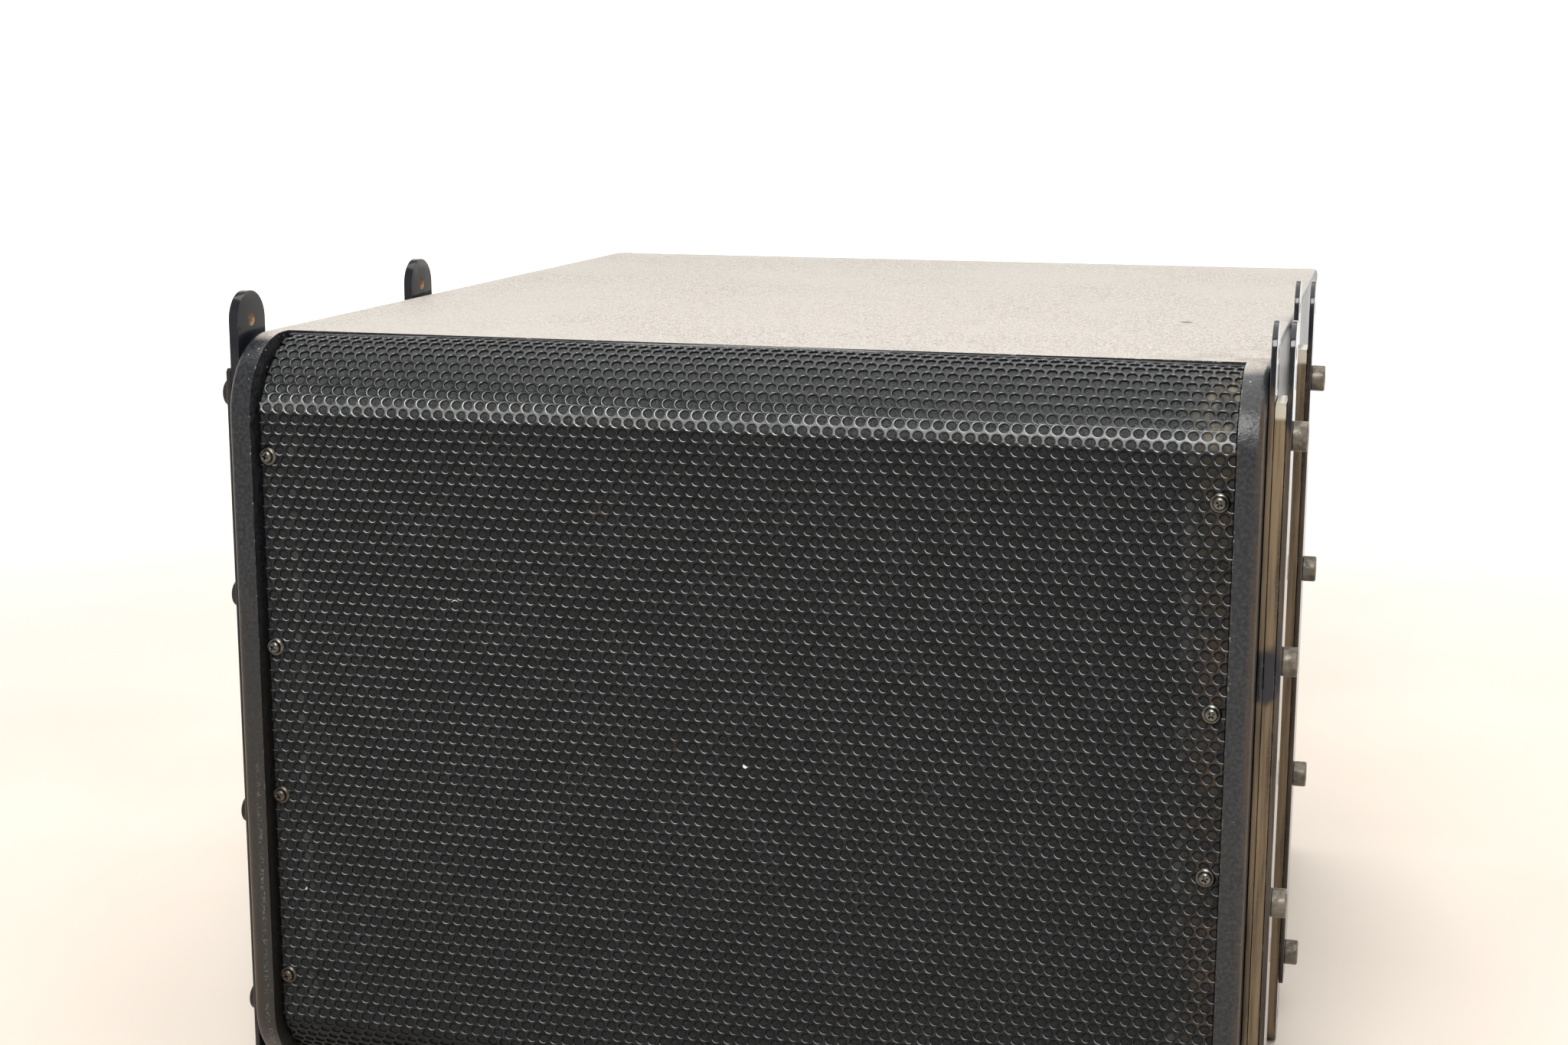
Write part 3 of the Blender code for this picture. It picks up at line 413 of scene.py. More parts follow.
def metal(name, colour, stain, roughness, spread=0.12, stain_share=0.6, brushed=(1, 1, 1)):
    """Bare or plated metal with stains and fine scratches."""
    s = Shader(name, Metallic=1.0)
    stains = s.product(s.patches(0.46, 0.68, 130, 5.0, 0.65), stain_share)
    fine = s.noise(1400, 3.0, 0.5, brushed)
    rough = s.rise(s.noise(210), 0.25, 0.75, roughness, roughness + spread)
    shade = s.mix(s.rise(fine, 0.3, 0.7), tuple(0.85 * x for x in colour), colour)
    return s.use(Base_Color=s.mix(stains, shade, stain), Roughness=rough, Normal=s.bump(fine, 0.06 * MM, 0.4))


def bolt_finish(name, shade):
    """Dull grey-brown coat on steel, darker where it was gripped. A shade below 1 darkens the whole coat as painted
    shade.
    """
    s = Shader(name, Metallic=0.35)
    stains = s.patches(0.40, 0.66, 160, 5.0, 0.65)
    light, dark = (0.150, 0.131, 0.102), (0.072, 0.062, 0.048)
    colour = s.mix(stains, tuple(shade * x for x in light), tuple(shade * x for x in dark))
    worn = s.product(s.edges(), s.patches(0.45, 0.6, 240))
    colour = s.mix(worn, colour, BOLT_WORN)
    rough = s.rise(stains, 0.0, 1.0, 0.40, 0.58)
    return s.use(Base_Color=colour, Roughness=rough, Normal=s.bump(s.noise(900), 0.12 * MM, 0.6))


def plywood():
    """Bare birch plywood with long grain."""
    s = Shader("bare_plywood", Roughness=0.62)
    grain = s.noise(90, 5.0, 0.6, (1, 0.06, 1), 0.4)
    plies = s.node("ShaderNodeTexWave", {"Vector": s.place, "Scale": 110.0, "Distortion": 1.2}).outputs["Fac"]
    colour = s.mix(s.rise(grain, 0.35, 0.7), (0.50, 0.34, 0.19), (0.70, 0.53, 0.34))
    colour = s.mix(s.product(plies, 0.18), colour, (0.30, 0.19, 0.10))
    return s.use(Base_Color=colour, Normal=s.bump(grain, 0.25 * MM, 0.5))


def matte(name, low, high, per_metre, roughness, bump_mm, metallic=0.0):
    """A moulded, cast or pressed surface with a fine mottle."""
    s = Shader(name, Metallic=metallic)
    mottle = s.noise(per_metre, 4.0, 0.6)
    rough = s.rise(mottle, 0.25, 0.75, roughness - 0.07, roughness + 0.07)
    colour = s.mix(s.rise(mottle, 0.3, 0.7), low, high)
    return s.use(Base_Color=colour, Roughness=rough, Normal=s.bump(mottle, bump_mm * MM, 0.7))


def cloth(name, low, high, per_metre):
    """Woven threads, coated."""
    s = Shader(name, Specular_IOR_Level=0.3, Sheen_Weight=0.1)
    weave = []
    for direction in ("X", "Z"):
        wave = {"Vector": s.place, "Scale": per_metre, "Distortion": 0.6}
        weave.append(s.node("ShaderNodeTexWave", wave, bands_direction=direction).outputs["Fac"])
    threads = s.maths("MULTIPLY", *weave)
    rough = s.rise(threads, 0.0, 1.0, 0.9, 0.7)
    return s.use(Base_Color=s.mix(threads, low, high), Roughness=rough, Normal=s.bump(threads, 0.3 * MM, 0.8))


PAINT = cabinet_paint()
GRILLE_FLAT = grille_paint("grille_paint_flat", 0.10, 0.0)
GRILLE_FOLD = grille_paint("grille_paint_fold", 0.24, 1.0)
GRILLE_FOAM = foam("grille_foam", 1.0)
DAMPING = foam("damping_foam", 1.6)
STRAP_CLEAN = strap_paint("strap_paint_clean", 0.12)
STRAP_FINISHES = {
    "inner_plate": strap_paint("strap_paint_inner", 0.8),
    "middle_bar": strap_paint("strap_paint_bar", 1.0, 1.0),
    "outer_plate": strap_paint("strap_paint_outer", 0.35),
}
# The left bolts' coat is the same one at 0.15 of its brightness: painted shade, as the left side stands in shadow.
BOLTS = {"left": bolt_finish("bolt_finish_in_painted_shade", 0.15), "right": bolt_finish("bolt_finish_worn", 1.0)}
SCREW = metal("screw_steel", (0.155, 0.15, 0.138), (0.060, 0.048, 0.036), 0.21, stain_share=0.7)
RUSTY_SCREW = metal("rusty_screw_steel", (0.100, 0.091, 0.078), (0.050, 0.030, 0.018), 0.28, stain_share=0.9)
PLATED = metal("plated_steel", (0.60, 0.59, 0.55), (0.30, 0.28, 0.24), 0.28, stain_share=0.4)
COPPER = metal("coil_copper", (0.80, 0.42, 0.24), (0.45, 0.22, 0.12), 0.25, brushed=(1, 30, 1))
PLYWOOD = plywood()
CASTING = matte("basket_casting", (0.022, 0.022, 0.023), (0.055, 0.055, 0.056), 420, 0.45, 0.25, 0.2)
FERRITE = matte("magnet_ferrite", (0.050, 0.051, 0.055), (0.10, 0.10, 0.105), 260, 0.6, 0.2)
PAPER = matte("cone_paper", (0.018, 0.018, 0.019), (0.050, 0.050, 0.052), 520, 0.8, 0.35)
RUBBER = matte("gasket_rubber", (0.012, 0.012, 0.012), (0.030, 0.030, 0.030), 300, 0.75, 0.15)
SOCKET = matte("socket_plastic", (0.010, 0.014, 0.030), (0.018, 0.024, 0.050), 380, 0.38, 0.06)
SURROUND = cloth("surround_cloth", (0.016, 0.015, 0.014), (0.060, 0.056, 0.050), 420)
SPIDER = cloth("spider_cloth", (0.30, 0.20, 0.06), (0.55, 0.42, 0.17), 380)


# ---------- mesh helpers
def linked(name, data):
    """A new object in the scene."""
    made = bpy.data.objects.new(name, data)
    bpy.context.scene.collection.objects.link(made)
    return made


def finished(name, mesh, material, sharp):
    """An object of one material, smooth except at edges sharper than an angle in degrees."""
    if "custom_normal" in mesh.attributes:
        mesh.attributes.remove(mesh.attributes["custom_normal"])
    mesh.shade_smooth()
    if sharp is not None:
        mesh.set_sharp_from_angle(angle=math.radians(sharp))
    mesh.materials.clear()
    mesh.materials.append(material)
    return linked(name, mesh)


def piece(name, mesh, material, replaces=(), sharp=35.0):
    """A named piece that rides on the root body, in place of some CAD nodes."""
    made = finished(name, mesh, material, sharp)
    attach(made, "root")
    if replaces:
        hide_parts(*replaces)


def mesh_of(bm, name="scratch"):
    mesh = bpy.data.meshes.new(name)
    bm.to_mesh(mesh)
    bm.free()
    return mesh


def arc(turn, steps):
    """(cosine, sine) at even steps from 0 to an angle."""
    angles = [turn * i / steps for i in range(steps + 1)]
    return [(math.cos(a), math.sin(a)) for a in angles]


def circle(bm, radius, height, count):
    """Corners around the Z axis."""
    return [bm.verts.new((radius * c, radius * s, height)) for c, s in arc(2 * math.pi, count)[:-1]]


def cube(matrix):
    """A cube of one metre, moved by a matrix."""
    bm = bmesh.new()
    bmesh.ops.create_cube(bm, size=1.0)
    bm.transform(matrix)
    return bm


def skin(bm, lower, upper):
    """Faces between two rings of corners. A ring may be a single point."""
    count = max(len(lower), len(upper))
    for i in range(count if count > 1 else 0):
        j = (i + 1) % count
        corners = [lower[i % len(lower)], lower[j % len(lower)], upper[j % len(upper)], upper[i % len(upper)]]
        bm.faces.new(list(dict.fromkeys(corners)))


def turned(profile, segments, matrix=None):
    """A closed solid of revolution about Z from (radius, height) points."""
    bm = bmesh.new()
    rings = []
    for radius, height in profile:
        rings.append(circle(bm, radius, height, segments) if radius > 0 else [bm.verts.new((0, 0, height))])
    for lower, upper in zip(rings, rings[1:] + rings[:1]):
        skin(bm, lower, upper)
    bmesh.ops.recalc_face_normals(bm, faces=bm.faces[:])
    if matrix is not None:
        bm.transform(matrix)
    return bm


def merged(builders):
    """Several builders as one mesh."""
    whole = bmesh.new()
    for builder in builders:
        scratch = mesh_of(builder)
        whole.from_mesh(scratch)
        bpy.data.meshes.remove(scratch)
    return mesh_of(whole)


def towards(direction, place):
    """The matrix that stands a shape made along +Z at a place, pointing that way."""
    turn = Vector(direction).to_track_quat("Z", "Y").to_matrix().to_4x4()
    return Matrix.Translation(place) @ turn


def boolean(target, other, operation):
    """The result of an exact Boolean of two objects, applied to the first one."""
    step = target.modifiers.new("cut", "BOOLEAN")
    step.operation = operation
    step.solver = "EXACT"
    step.object = other
    bpy.context.view_layer.update()
    result = bpy.data.meshes.new_from_object(target.evaluated_get(bpy.context.evaluated_depsgraph_get()))
    target.modifiers.clear()
    target.data = result
    bpy.data.objects.remove(other, do_unlink=True)


def loose(bm):
    """A scratch object for Boolean steps."""
    return linked("scratch", mesh_of(bm))


def taken(target):
    """The mesh of a scratch object, which is removed."""
    mesh = target.data.copy()
    bpy.data.objects.remove(target, do_unlink=True)
    return mesh


def paint(node, material):
    """A CAD node as it is, with its own material."""
    shown = nodes[node]
    shown.data.materials.clear()
    shown.data.materials.append(material)
    return shown


def soften(node, material, width, segments):
    """The same, with slightly rounded edges."""
    shown = paint(node, material)
    weld = shown.modifiers.new("weld", "WELD")
    weld.merge_threshold = WELD
    rounding = shown.modifiers.new("edges", "BEVEL")
    rounding.width = width
    rounding.segments = segments
    rounding.limit_method = "ANGLE"
    rounding.angle_limit = math.radians(40)
    rounding.harden_normals = True


# ---------- cabinet shell
def clean_copy(node):
    """A CAD node's mesh with its split corners welded."""
    bm = bmesh.new()
    bm.from_mesh(nodes[node].data)
    bmesh.ops.remove_doubles(bm, verts=bm.verts[:], dist=WELD)
    return bm


def cabinet_shell():
    """The outer panels as one painted box, since the paint hides their joints."""
    panels = ("left_side_panel", "right_side_panel", "top_panel", "bottom_panel", "back_panel")
    overlap = 0.6 * MM   # the panels between the side panels grow by this much, so that all of them join
    shell = loose(clean_copy(panels[0]))
    for node in panels[1:]:
        copy = clean_copy(node)
        low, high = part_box(node)
        if node != "right_side_panel":
            wider = (INNER_X + overlap) / high.x
            taller = 1 + 2 * overlap / (high.z - low.z) if node == "back_panel" else 1.0
            about = Matrix.Translation((0, 0, MIDDLE))
            copy.transform(about @ Matrix.Diagonal((wider, 1, taller, 1)) @ about.inverted())
        boolean(shell, loose(copy), "UNION")
    piece("cabinet_shell", taken(shell), PAINT, panels, 40.0)


# ---------- grille
class FoldedSheet:
    """Where the points of a flat sheet go once it is folded over at the top and bottom."""

    def __init__(self):
        step = 0.05 * MM
        self.along = np.arange(0, FLAT_HALF + 75 * MM, step)
        lean = np.zeros_like(self.along)
        crease, before = FLAT_HALF, 0
        for length, angle, bend in FOLDS:
            share = np.clip((self.along - crease) / (bend * MM) + (0.5 if before else 0.0), 0, 1)
            lean += math.radians(angle - before) * share * share * (3 - 2 * share)
            crease, before = crease + length * MM, angle
        self.end = crease
        self.lean = lean
        self.back = np.concatenate(([0], np.cumsum(np.sin(lean) * step)[:-1]))
        self.up = np.concatenate(([0], np.cumsum(np.cos(lean) * step)[:-1]))

    def place(self, across, along, depth):
        """World points of (sideways, up the sheet from mid height, behind its face)."""
        far = np.abs(along)
        lean = np.interp(far, self.along, self.lean)
        middle = 1 - (across / GRILLE_HALF) ** 2
        dish = DISH * middle * np.clip(1 - (far / FLAT_HALF) ** 2, 0, 1)
        ripple = RIPPLE * middle * (
            np.sin(across * 31 + along * 13) + np.sin(across * 17 - along * 37 + 1.3) * np.cos(along * 19)
        )
        y = FACE + np.interp(far, self.along, self.back) + depth * np.cos(lean) + dish + ripple * np.cos(lean)
        bulge = BOW * middle * np.clip((far - FLAT_HALF) / (self.end - FLAT_HALF), 0, 1)
        z = np.interp(far, self.along, self.up) - depth * np.sin(lean) + bulge - ripple * np.sin(lean)
        return np.stack([across, y, MIDDLE + np.sign(along) * z], axis=-1)


FOLDED = FoldedSheet()


def hole_centres(rows):
    """(sideways, along) of each hole in these rows. Row 0 is the first one above mid height."""
    centres = []
    for row in rows:
        along = (row + 0.5) * ROW
        shift = COLUMN_START + (PITCH / 2 if row % 2 else 0)
        first = math.ceil((-GRILLE_HALF - PITCH - shift) / PITCH)
        last = math.floor((GRILLE_HALF + PITCH - shift) / PITCH)
        centres += [(shift + PITCH * column, along) for column in range(first, last + 1)]
    return np.array(centres).reshape(-1, 2)


def perforated(rows, solid_rows=()):
    """Flat sheet with a lipped hole in each six-sided cell. Its solid rows have no holes."""
    angles = np.arange(SIDES) * 2 * math.pi / SIDES
    border = np.where(np.arange(SIDES) % 2 == 0, PITCH / 2, PITCH / math.sqrt(3))
    rings = (   # radius, depth behind the face, and how much of it is lip
        (border, 0.0, 0.0),
        (HOLE + LIP + SHOULDER, 0.0, 0.0),
        (HOLE + LIP, 0.0, 1.0),
        (HOLE, LIP_DEPTH, 1.0),
        (HOLE, SHEET, 0.3),
        (border, SHEET, 0.0),
    )

    def corners(centres, radius, depth):
        x = centres[:, :1] + radius * np.cos(angles)
        s = centres[:, 1:] + radius * np.sin(angles)
        return np.stack([x, s, np.full_like(x, depth)], axis=-1).reshape(-1, 3)

    centres = hole_centres(rows)
    count = len(centres) * SIDES
    points = np.concatenate([corners(centres, radius, depth) for radius, depth, _ in rings])
    rim = np.repeat([lip for _, _, lip in rings], count)
    quads = []
    first = np.arange(count)
    following = (first // SIDES) * SIDES + (first + 1) % SIDES
    for ring in range(len(rings) - 1):
        low, high = ring * count, (ring + 1) * count
        quads.append(np.stack([first + low, following + low, following + high, first + high], axis=-1))
    plates = []
    for depth in (0.0, SHEET):
        solid = corners(hole_centres(solid_rows), border, depth)
        cells = len(points) + np.arange(len(solid)).reshape(-1, SIDES)
        plates.append(cells if depth else cells[:, ::-1])
        points = np.concatenate([points, solid])
        rim = np.concatenate([rim, np.zeros(len(solid))])
    keys = np.round(points / WELD).astype(np.int64)
    _, kept, merged_to = np.unique(keys, axis=0, return_index=True, return_inverse=True)
    merged_to = merged_to.reshape(-1)
    faces = merged_to[np.concatenate(quads)].tolist()
    for cells in plates:
        faces += merged_to[cells].tolist()
    mesh = bpy.data.meshes.new("perforated")
    mesh.from_pydata(points[kept].tolist(), [], faces)
    mesh.attributes.new("rim", "FLOAT", "POINT").data.foreach_set("value", rim[kept].astype(np.float32))
    return mesh


def trimmed(mesh, end=None):
    """The sheet cut straight at its sides, and at its upper or lower end, with the cuts closed."""
    bm = bmesh.new()
    bm.from_mesh(mesh)
    cuts = [((GRILLE_EDGES[0], 0, 0), (-1, 0, 0)), ((GRILLE_EDGES[1], 0, 0), (1, 0, 0))]
    if end is not None:
        cuts.append(((0, end, 0), (0, math.copysign(1, end), 0)))
    for place, normal in cuts:
        place, normal = Vector(place), Vector(normal)
        near = {v for v in bm.verts if (v.co - place).dot(normal) > -2 * PITCH}
        touched = [f for f in bm.faces if all(v in near for v in f.verts)]
        edges = dict.fromkeys(e for f in touched for e in f.edges)
        verts = dict.fromkeys(v for f in touched for v in f.verts)
        geometry = [*touched, *edges, *verts]
        cut = bmesh.ops.bisect_plane(
            bm, geom=geometry, plane_co=place, plane_no=normal, clear_outer=True, dist=0.001 * MM
        )
        rim = [e for e in cut["geom_cut"] if isinstance(e, bmesh.types.BMEdge) and e.is_boundary]
        bmesh.ops.holes_fill(bm, edges=rim, sides=0)
    bm.to_mesh(mesh)
    bm.free()
    return mesh


def fold(mesh):
    """Bend the flat sheet to its place, and note how far past the fold each point is."""
    count = len(mesh.vertices)
    flat = np.zeros(count * 3, np.float32)
    mesh.vertices.foreach_get("co", flat)
    across, along, depth = flat.reshape(-1, 3).astype(float).T
    placed = FOLDED.place(across, along, depth)
    mesh.vertices.foreach_set("co", placed.astype(np.float32).ravel())
    past = np.clip(np.abs(along) - FLAT_HALF, 0, None)
    mesh.attributes.new("past_fold", "FLOAT", "POINT").data.foreach_set("value", past.astype(np.float32))
    mesh.update()


def grille():
    """Six pieces, each a band of rows."""
    last, half = FLAT_ROWS + FOLD_ROWS, FLAT_ROWS // 2
    bands = (
        ("upper_fold", range(FLAT_ROWS, last), (last,), FOLDED.end),
        ("upper_flat", range(half, FLAT_ROWS), (), None),
        ("upper_middle", range(0, half), (), None),
        ("lower_middle", range(-half, 0), (), None),
        ("lower_flat", range(-FLAT_ROWS, -half), (), None),
        ("lower_fold", range(-last, -FLAT_ROWS), (-last - 1,), -FOLDED.end),
    )
    for name, rows, solid_rows, end in bands:
        mesh = trimmed(perforated(rows, solid_rows), end)
        fold(mesh)
        material = GRILLE_FOLD if name == "upper_fold" else GRILLE_FLAT
        piece(f"grille_{name}", mesh, material, ["grille"], None)


def grille_foam():
    """A soft sheet pressed against the back of the grille."""
    columns, rows = 170, 150
    front, thickness = SHEET + 0.15 * MM, 7.6 * MM
    across = np.linspace(GRILLE_EDGES[0] + 0.5 * MM, GRILLE_EDGES[1] - 0.3 * MM, columns)
    along = np.linspace(-FOLDED.end + 1 * MM, FOLDED.end - 1 * MM, rows)
    grid_x, grid_s = np.meshgrid(across, along)
    swell = 0.12 * MM * (1 + np.sin(grid_x * 900) * np.sin(grid_s * 800 + np.sin(grid_x * 300)))
    layers = [FOLDED.place(grid_x, grid_s, front + swell), FOLDED.place(grid_x, grid_s, front + thickness)]
    points = np.concatenate([layer.reshape(-1, 3) for layer in layers])
    index = np.arange(columns * rows).reshape(rows, columns)
    a, b, c, d = index[:-1, :-1], index[:-1, 1:], index[1:, 1:], index[1:, :-1]
    faces = np.stack([a, b, c, d], axis=-1).reshape(-1, 4)
    lift = columns * rows
    behind = faces[:, ::-1] + lift
    edge = np.concatenate([index[0, :-1], index[:-1, -1], index[-1, :0:-1], index[:0:-1, 0]])
    following = np.roll(edge, -1)
    walls = np.stack([following, edge, edge + lift, following + lift], axis=-1)
    mesh = bpy.data.meshes.new("grille_foam_sheet")
    mesh.from_pydata(points.tolist(), [], np.concatenate([faces, behind, walls]).tolist())
    piece("grille_foam_sheet", mesh, GRILLE_FOAM, ["grille_foam"], 60.0)


# ---------- fasteners
def cross_cutter(size, depth, top):
    """Two tapered bars that press the driver's recess into a screw head."""
    width_share, taper, above = 0.28, 0.55, 0.05 * MM
    arms = []
    for turn in (0, math.pi / 2):
        arm = cube(Matrix())
        for v in arm.verts:
            reach = size * (taper if v.co.z < 0 else 1.0)
            v.co = Vector((v.co.x * reach, v.co.y * reach * width_share, v.co.z * depth))
        arm.transform(Matrix.Translation((0, 0, top - depth / 2 + above)) @ Matrix.Rotation(turn, 4, "Z"))
        arms.append(arm)
    return arms


def pan_head(radius, height, segments):
    """A domed screw head with a cross recess, standing on z = 0."""
    neck, below, wall, crown = radius * 0.55, -0.6 * MM, 0.3, 0.35
    profile = [(0, below), (neck, below), (neck, 0), (radius, 0), (radius, height * wall)]
    for c, s in arc(math.pi / 2, 6)[1:-1]:
        profile.append((radius * (crown + (1 - crown) * c), height * (wall + (1 - wall) * s)))
    profile.append((0, height))
    head = loose(turned(profile, segments))
    for arm in cross_cutter(radius * 1.05, height * 0.75, height):
        boolean(head, loose(arm), "DIFFERENCE")
    return taken(head)


def placed(mesh, matrix):
    """A mesh as a builder that can be merged, moved by a matrix."""
    bm = bmesh.new()
    bm.from_mesh(mesh)
    bm.transform(matrix)
    return bm


def grille_screws():
    """Pan-head screws on cup washers, one for each CAD screw."""
    head = pan_head(4.05 * MM, 2.5 * MM, 40)
    washer = (
        (4.2, 1.35), (4.7, 1.50), (5.2, 1.30), (5.8, 0.75), (6.15, 0.10), (6.10, 0.0), (5.7, 0.25), (5.0, 0.9),
        (4.4, 1.0), (2.2, 0.55), (2.2, 1.05), (3.9, 1.30),
    )
    shank = ((0, -21), (1.2, -19), (1.9, -17.5), (1.9, 1.2), (0, 1.2))
    washer, shank = ([(r * MM, h * MM) for r, h in profile] for profile in (washer, shank))
    seat = Matrix.Translation((0, 0, 1.45 * MM))
    for number in range(1, 9):
        node = f"grille_screw_{number}"
        low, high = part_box(node)
        spin = Matrix.Rotation(number * 1.9, 4, "Z")
        place = towards((0, -1, 0), ((low.x + high.x) / 2, FACE - 0.05 * MM, (low.z + high.z) / 2))
        parts = [placed(head, place @ seat @ spin), turned(washer, 48, place), turned(shank, 16, place)]
        rusty = low.x < 0 and low.z < MIDDLE
        piece(f"{node}_head", merged(parts), RUSTY_SCREW if rusty else SCREW, [node])


def strap_bolts():
    """Round cap heads with a rolled edge, four on each strap, and the bar that they hold inside."""
    radius, height, rounding, shank = 9 * MM, 9 * MM, 1.3 * MM, 6 * MM
    flank, brow = radius - rounding, height - rounding
    gap, bar_thickness = 0.1 * MM, 5 * MM
    for side, sign in HANDS:
        for end in ENDS:
            node = f"{side}_{end}_bolt_set"
            plate_low, plate_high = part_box(f"{side}_{end}_strap_outer_plate")
            set_low, set_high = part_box(node)
            face = plate_high.x if sign > 0 else -plate_low.x
            inside = set_low.x if sign > 0 else -set_high.x
            y = (plate_low.y + plate_high.y) / 2
            profile = [(0, inside - face), (shank, inside - face), (shank, gap)]
            profile += [(radius - 0.4 * MM, gap), (radius, 0.5 * MM)]
            profile += [(flank + rounding * c, brow + rounding * s) for c, s in arc(math.pi / 2, 6)]
            profile += [(4.3 * MM, height), (4.0 * MM, height - 0.4 * MM), (0, height - 0.5 * MM)]
            parts = []
            for offset in BOLT_OFFSETS:
                parts.append(turned(profile, 48, towards((sign, 0, 0), (sign * face, y, MIDDLE + offset))))
            place = Matrix.Translation((sign * (inside + bar_thickness / 2), y, MIDDLE))
            bar = cube(place @ Matrix.Diagonal((bar_thickness, set_high.y - set_low.y, set_high.z - set_low.z, 1)))
            bmesh.ops.bevel(bar, geom=bar.edges[:], offset=0.8 * MM, segments=2, affect="EDGES")
            parts.append(bar)
            piece(f"{side}_{end}_bolts", merged(parts), BOLTS[side], [node])


def strap_ply(node, holes, material):
    """One layer of a strap: a flat bar with a full round at one end and softly ground edges."""
    low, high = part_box(node)
    thickness, radius, corner = high.x - low.x, (high.y - low.y) / 2, 2 * MM
    y = (low.y + high.y) / 2
    round_up = high.z > TOP
    length = high.z - low.z - radius
    points = [(radius * c, radius * s) for c, s in arc(math.pi, 40)]
    points += [(-radius, corner - length), (corner - radius, -length)]
    points += [(radius - corner, -length), (radius, corner - length)]
    flip = 1 if round_up else -1
    end = (high.z - radius) if round_up else (low.z + radius)
    bm = bmesh.new()
    bm.faces.new([bm.verts.new((low.x, y + a * flip, end + b * flip)) for a, b in points])
    thick = bmesh.ops.extrude_face_region(bm, geom=bm.faces[:])
    moved = [v for v in thick["geom"] if isinstance(v, bmesh.types.BMVert)]
    bmesh.ops.translate(bm, verts=moved, vec=(thickness, 0, 0))
    bmesh.ops.recalc_face_normals(bm, faces=bm.faces[:])
    outline = [e for e in bm.edges if abs(e.verts[0].co.x - e.verts[1].co.x) < 0.1 * MM]
    bmesh.ops.bevel(bm, geom=outline, offset=0.55 * MM, segments=3, profile=0.6, affect="EDGES", clamp_overlap=True)
    ply = loose(bm)
    past = 5 * MM
    for z, size in holes:
        profile = [(0, -past), (size, -past), (size, thickness + past), (0, thickness + past)]
        boolean(ply, loose(turned(profile, 40, towards((1, 0, 0), (low.x, y, z)))), "DIFFERENCE")
    mesh = taken(ply)
    pin_z, pin_radius = holes[-1]
    bore = []
    for face in mesh.polygons:
        reach = max(math.hypot(mesh.vertices[i].co.y - y, mesh.vertices[i].co.z - pin_z) for i in face.vertices)
        bore.append(1.0 if reach < pin_radius + 0.1 * MM else 0.0)
    mesh.attributes.new("bore", "FLOAT", "FACE").data.foreach_set("value", bore)
    piece(f"{node}_ply", mesh, material, [node], 30.0)


def straps():
    """The three plies of each strap, with four bolt holes and a pin hole."""
    bolt_hole, pin_hole = 6.6 * MM, 4.3 * MM
    for side, _ in HANDS:
        for end in ENDS:
            for part, finish in STRAP_FINISHES.items():
                node = f"{side}_{end}_strap_{part}"
                low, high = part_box(node)
                radius = (high.y - low.y) / 2
                pin = high.z - radius if high.z > TOP else low.z + radius
                holes = [(MIDDLE + offset, bolt_hole) for offset in BOLT_OFFSETS] + [(pin, pin_hole)]
                strap_ply(node, holes, STRAP_CLEAN if side == "left" else finish)


# ---------- back, sides and inside
def small_screws():
    """Screws in the corners of the handles' flanges and of the input plate."""
    head = pan_head(3.2 * MM, 1.9 * MM, 28)
    inset = 7 * MM
    for node, outward in (("left_handle", (-1, 0, 0)), ("right_handle", (1, 0, 0)), ("input_plate", (0, 1, 0))):
        low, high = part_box(node)
        normal = 0 if outward[0] else 1
        level = 1 - normal
        spot = Vector()
        spot[normal] = high[normal] if outward[normal] > 0 else low[normal]
        parts = []
        for across in (low[level] + inset, high[level] - inset):
            for height in (low.z + inset, high.z - inset):
                spot[level], spot.z = across, height
                parts.append(placed(head, towards(outward, spot)))
        piece(f"{node}_screws", merged(parts), SCREW)


def socket_posts():
    """The keyed post in the middle of each socket, with its four contact strips."""
    depth = 26 * MM
    post = [(0, 0), (3.1 * MM, 0), (3.1 * MM, 19 * MM), (2.5 * MM, 20.5 * MM), (0, 20.5 * MM)]
    strip = Matrix.Translation((3.3 * MM, 0, 11 * MM)) @ Matrix.Diagonal((0.5 * MM, 1.8 * MM, 13 * MM, 1))
    for number in (1, 2):
        name = f"input_socket_{number}"
        low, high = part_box(name)
        place = towards((0, 1, 0), ((low.x + high.x) / 2, high.y - depth, (low.z + high.z) / 2))
        piece(f"{name}_post", mesh_of(turned(post, 32, place)), SOCKET)
        turns = [math.pi / 4 + quarter * math.pi / 2 for quarter in range(4)]
        strips = [cube(place @ Matrix.Rotation(turn, 4, "Z") @ strip) for turn in turns]
        piece(f"{name}_contacts", merged(strips), COPPER)


def carried_over():
    """The other CAD nodes, with their own finishes."""
    for names, material, width, segments in (
        ("front_pin rear_pin", PLATED, 0.2, 2),
        ("left_handle right_handle", STRAP_CLEAN, 0.5, 3),
        ("input_plate", STRAP_CLEAN, 0.4, 2),
        ("input_socket_1 input_socket_2", SOCKET, 0.25, 2),
        ("baffle", PAINT, 0.8, 2),
        ("left_grille_batten right_grille_batten", PAINT, 0.5, 2),
        ("left_port_wall right_port_wall vertical_brace", PLYWOOD, 0.5, 2),
        ("damping_foam", DAMPING, 5, 4),
        ("woofer_basket", CASTING, 0.8, 2),
        ("woofer_top_plate woofer_back_plate", PLATED, 0.6, 2),
        ("woofer_magnet", FERRITE, 1.5, 3),
    ):
        for node in names.split():
            soften(node, material, width * MM, segments)
    paint("woofer_gasket", RUBBER)
    paint("woofer_cone", PAPER)
    paint("woofer_dust_cap", PAPER)
    paint("woofer_voice_coil", COPPER)


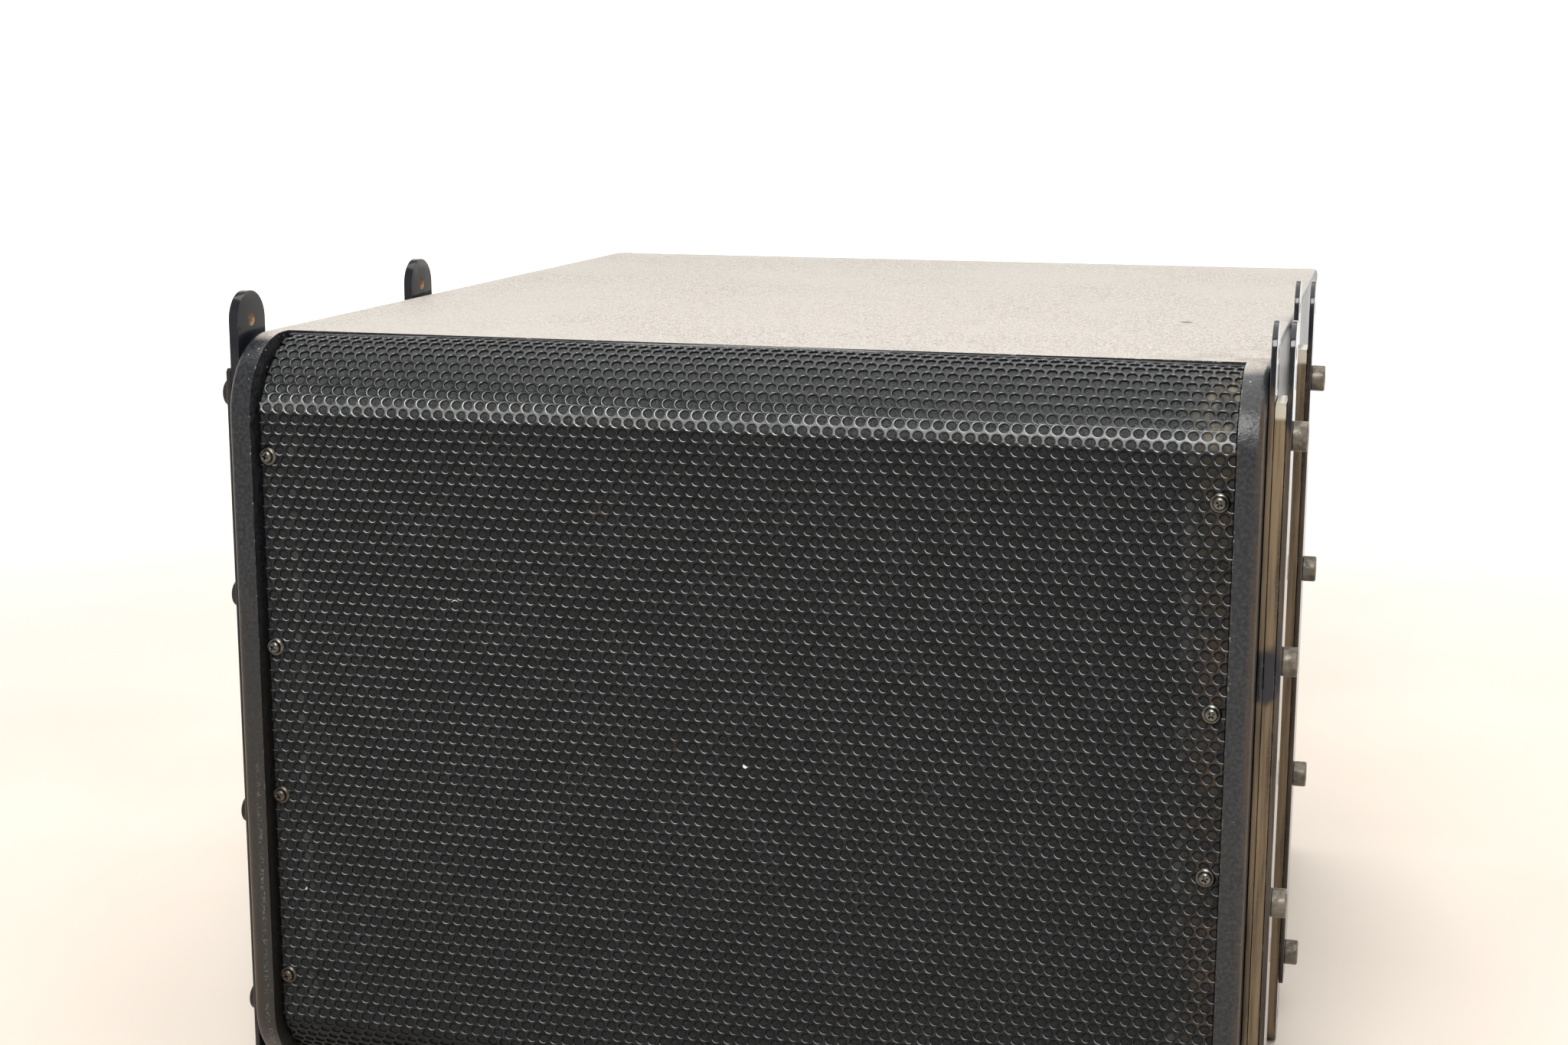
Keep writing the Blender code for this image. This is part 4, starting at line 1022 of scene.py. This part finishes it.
def flexing_ring(name, profile, material):
    """A ring in twelve sectors, between the frame and the sliding cone."""
    count, steps = 12, 5
    half = math.pi / count
    for number in range(count):
        middle = 2 * math.pi * number / count
        bm = bmesh.new()
        sections = []
        for i in range(steps + 1):
            angle = middle - half + 2 * half * i / steps
            ring = [(r * math.cos(angle), y, MIDDLE + r * math.sin(angle)) for r, y in profile]
            sections.append([bm.verts.new(point) for point in ring])
        for first, second in zip(sections, sections[1:]):
            skin(bm, first, second)
        bm.faces.new(sections[0])
        bm.faces.new(sections[-1])
        bmesh.ops.recalc_face_normals(bm, faces=bm.faces[:])
        made = finished(f"{name}_{number + 1}", mesh_of(bm), material, 50.0)
        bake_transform(made)
        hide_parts(f"woofer_{name}")


def suspension():
    """The woofer's cloth surround and its corrugated spider."""
    low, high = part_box("woofer_surround")
    inner, outer, thickness = 171.8 * MM, high.x, 1.2 * MM
    middle, half = (inner + outer) / 2, (outer - inner) / 2
    rise = high.y - low.y - 1.5 * MM
    back = [(middle - half * c, high.y - rise * s) for c, s in arc(math.pi, 16)]
    front = [(radius, y - thickness) for radius, y in back]
    flexing_ring("surround", front + back[::-1], SURROUND)
    low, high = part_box("woofer_spider")
    inner, outer, thickness = 51.6 * MM, high.x, 0.8 * MM
    level, height, waves, steps = (low.y + high.y) / 2, 1.1 * MM, 5, 40
    line = []
    for i in range(steps + 1):
        share = i / steps
        line.append((inner + (outer - inner) * share, level + height * math.sin(2 * math.pi * waves * share)))
    front = [(radius, y - thickness / 2) for radius, y in line]
    back = [(radius, y + thickness / 2) for radius, y in line]
    flexing_ring("spider", front + back[::-1], SPIDER)


# ---------- studio
def studio_bowl():
    """A pale floor that curves up into a white wall all round, brighter behind the object than in front."""
    flat, curve, wall, sides, sunk = 4.4, 1.6, 4.5, 96, 0.5 * MM
    profile = [(1.0, 0), (2.2, 0), (flat, 0)]
    profile += [(flat + curve * s, curve * (1 - c)) for c, s in arc(math.pi / 2, 12)[1:]]
    profile.append((flat + curve, wall))
    bm = bmesh.new()
    rings = [circle(bm, radius, height - sunk, sides) for radius, height in profile]
    bm.faces.new(rings[0])
    for inner, outer in zip(rings, rings[1:]):
        skin(bm, outer, inner)
    bowl = linked("studio_bowl", mesh_of(bm))
    bowl.data.shade_smooth()
    s = Shader("pale_floor", Roughness=0.7, Specular_IOR_Level=0.2, Emission_Color=(1.0, 0.985, 0.97, 1.0))
    radius = s.node("ShaderNodeVectorMath", {0: s.place}, operation="LENGTH").outputs["Value"]
    away = s.rise(radius, 0.7, 3.0)
    mottle = s.patches(0.3, 0.7, 2.5, 2.0)
    near = s.mix(mottle, *FLOOR_NEAR)
    colour = s.mix(away, near, FLOOR_FAR)
    behind = s.ramp("Y", -2.0, 1.8, 0.0, 0.62)
    glow = s.product(s.rise(radius, 1.2, 4.0), behind)
    bowl.data.materials.append(s.use(Base_Color=colour, Emission_Strength=glow))
    s.material.cycles.emission_sampling = "NONE"


def studio():
    """Soft light all round, from overhead and from in front."""
    world = bpy.data.worlds.new("studio")
    bpy.context.scene.world = world
    world.use_nodes = True
    background = world.node_tree.nodes["Background"].inputs
    background["Color"].default_value = (1.0, 0.99, 0.975, 1.0)
    background["Strength"].default_value = 0.42
    studio_bowl()
    for name, place, size, power in (
        ("overhead", (0.1, 0.1, 2.75), 3.0, 78),
        ("key", (0.32, -2.15, 2.05), 0.9, 52),
    ):
        light = bpy.data.lights.new(name, "AREA")
        light.shape = "SQUARE"
        light.size = size
        light.energy = power
        light.color = (1.0, 0.985, 0.96)
        lamp = linked(name, light)
        lamp.location = place
        aim = Vector((0, 0, MIDDLE)) - Vector(place)
        lamp.rotation_euler = aim.to_track_quat("-Z", "Y").to_euler()
    bpy.context.scene.view_settings.view_transform = "Standard"


def camera():
    """Eye level a little above the cabinet, to the right of its front."""
    data = bpy.data.cameras.new("camera")
    data.sensor_width = 36.0
    data.lens = 52.7
    eye = linked("camera", data)
    place, turn, tilt, roll = (0.3984, -1.7092, 0.7023), 14.98, 78.97, 0.15
    pose = Matrix.Translation(place)
    for angle, axis in ((turn, "Z"), (tilt, "X"), (roll, "Z")):
        pose = pose @ Matrix.Rotation(math.radians(angle), 4, axis)
    eye.matrix_world = pose
    bpy.context.scene.camera = eye


cabinet_shell()
grille()
grille_foam()
grille_screws()
strap_bolts()
straps()
small_screws()
socket_posts()
carried_over()
suspension()
studio()
camera()
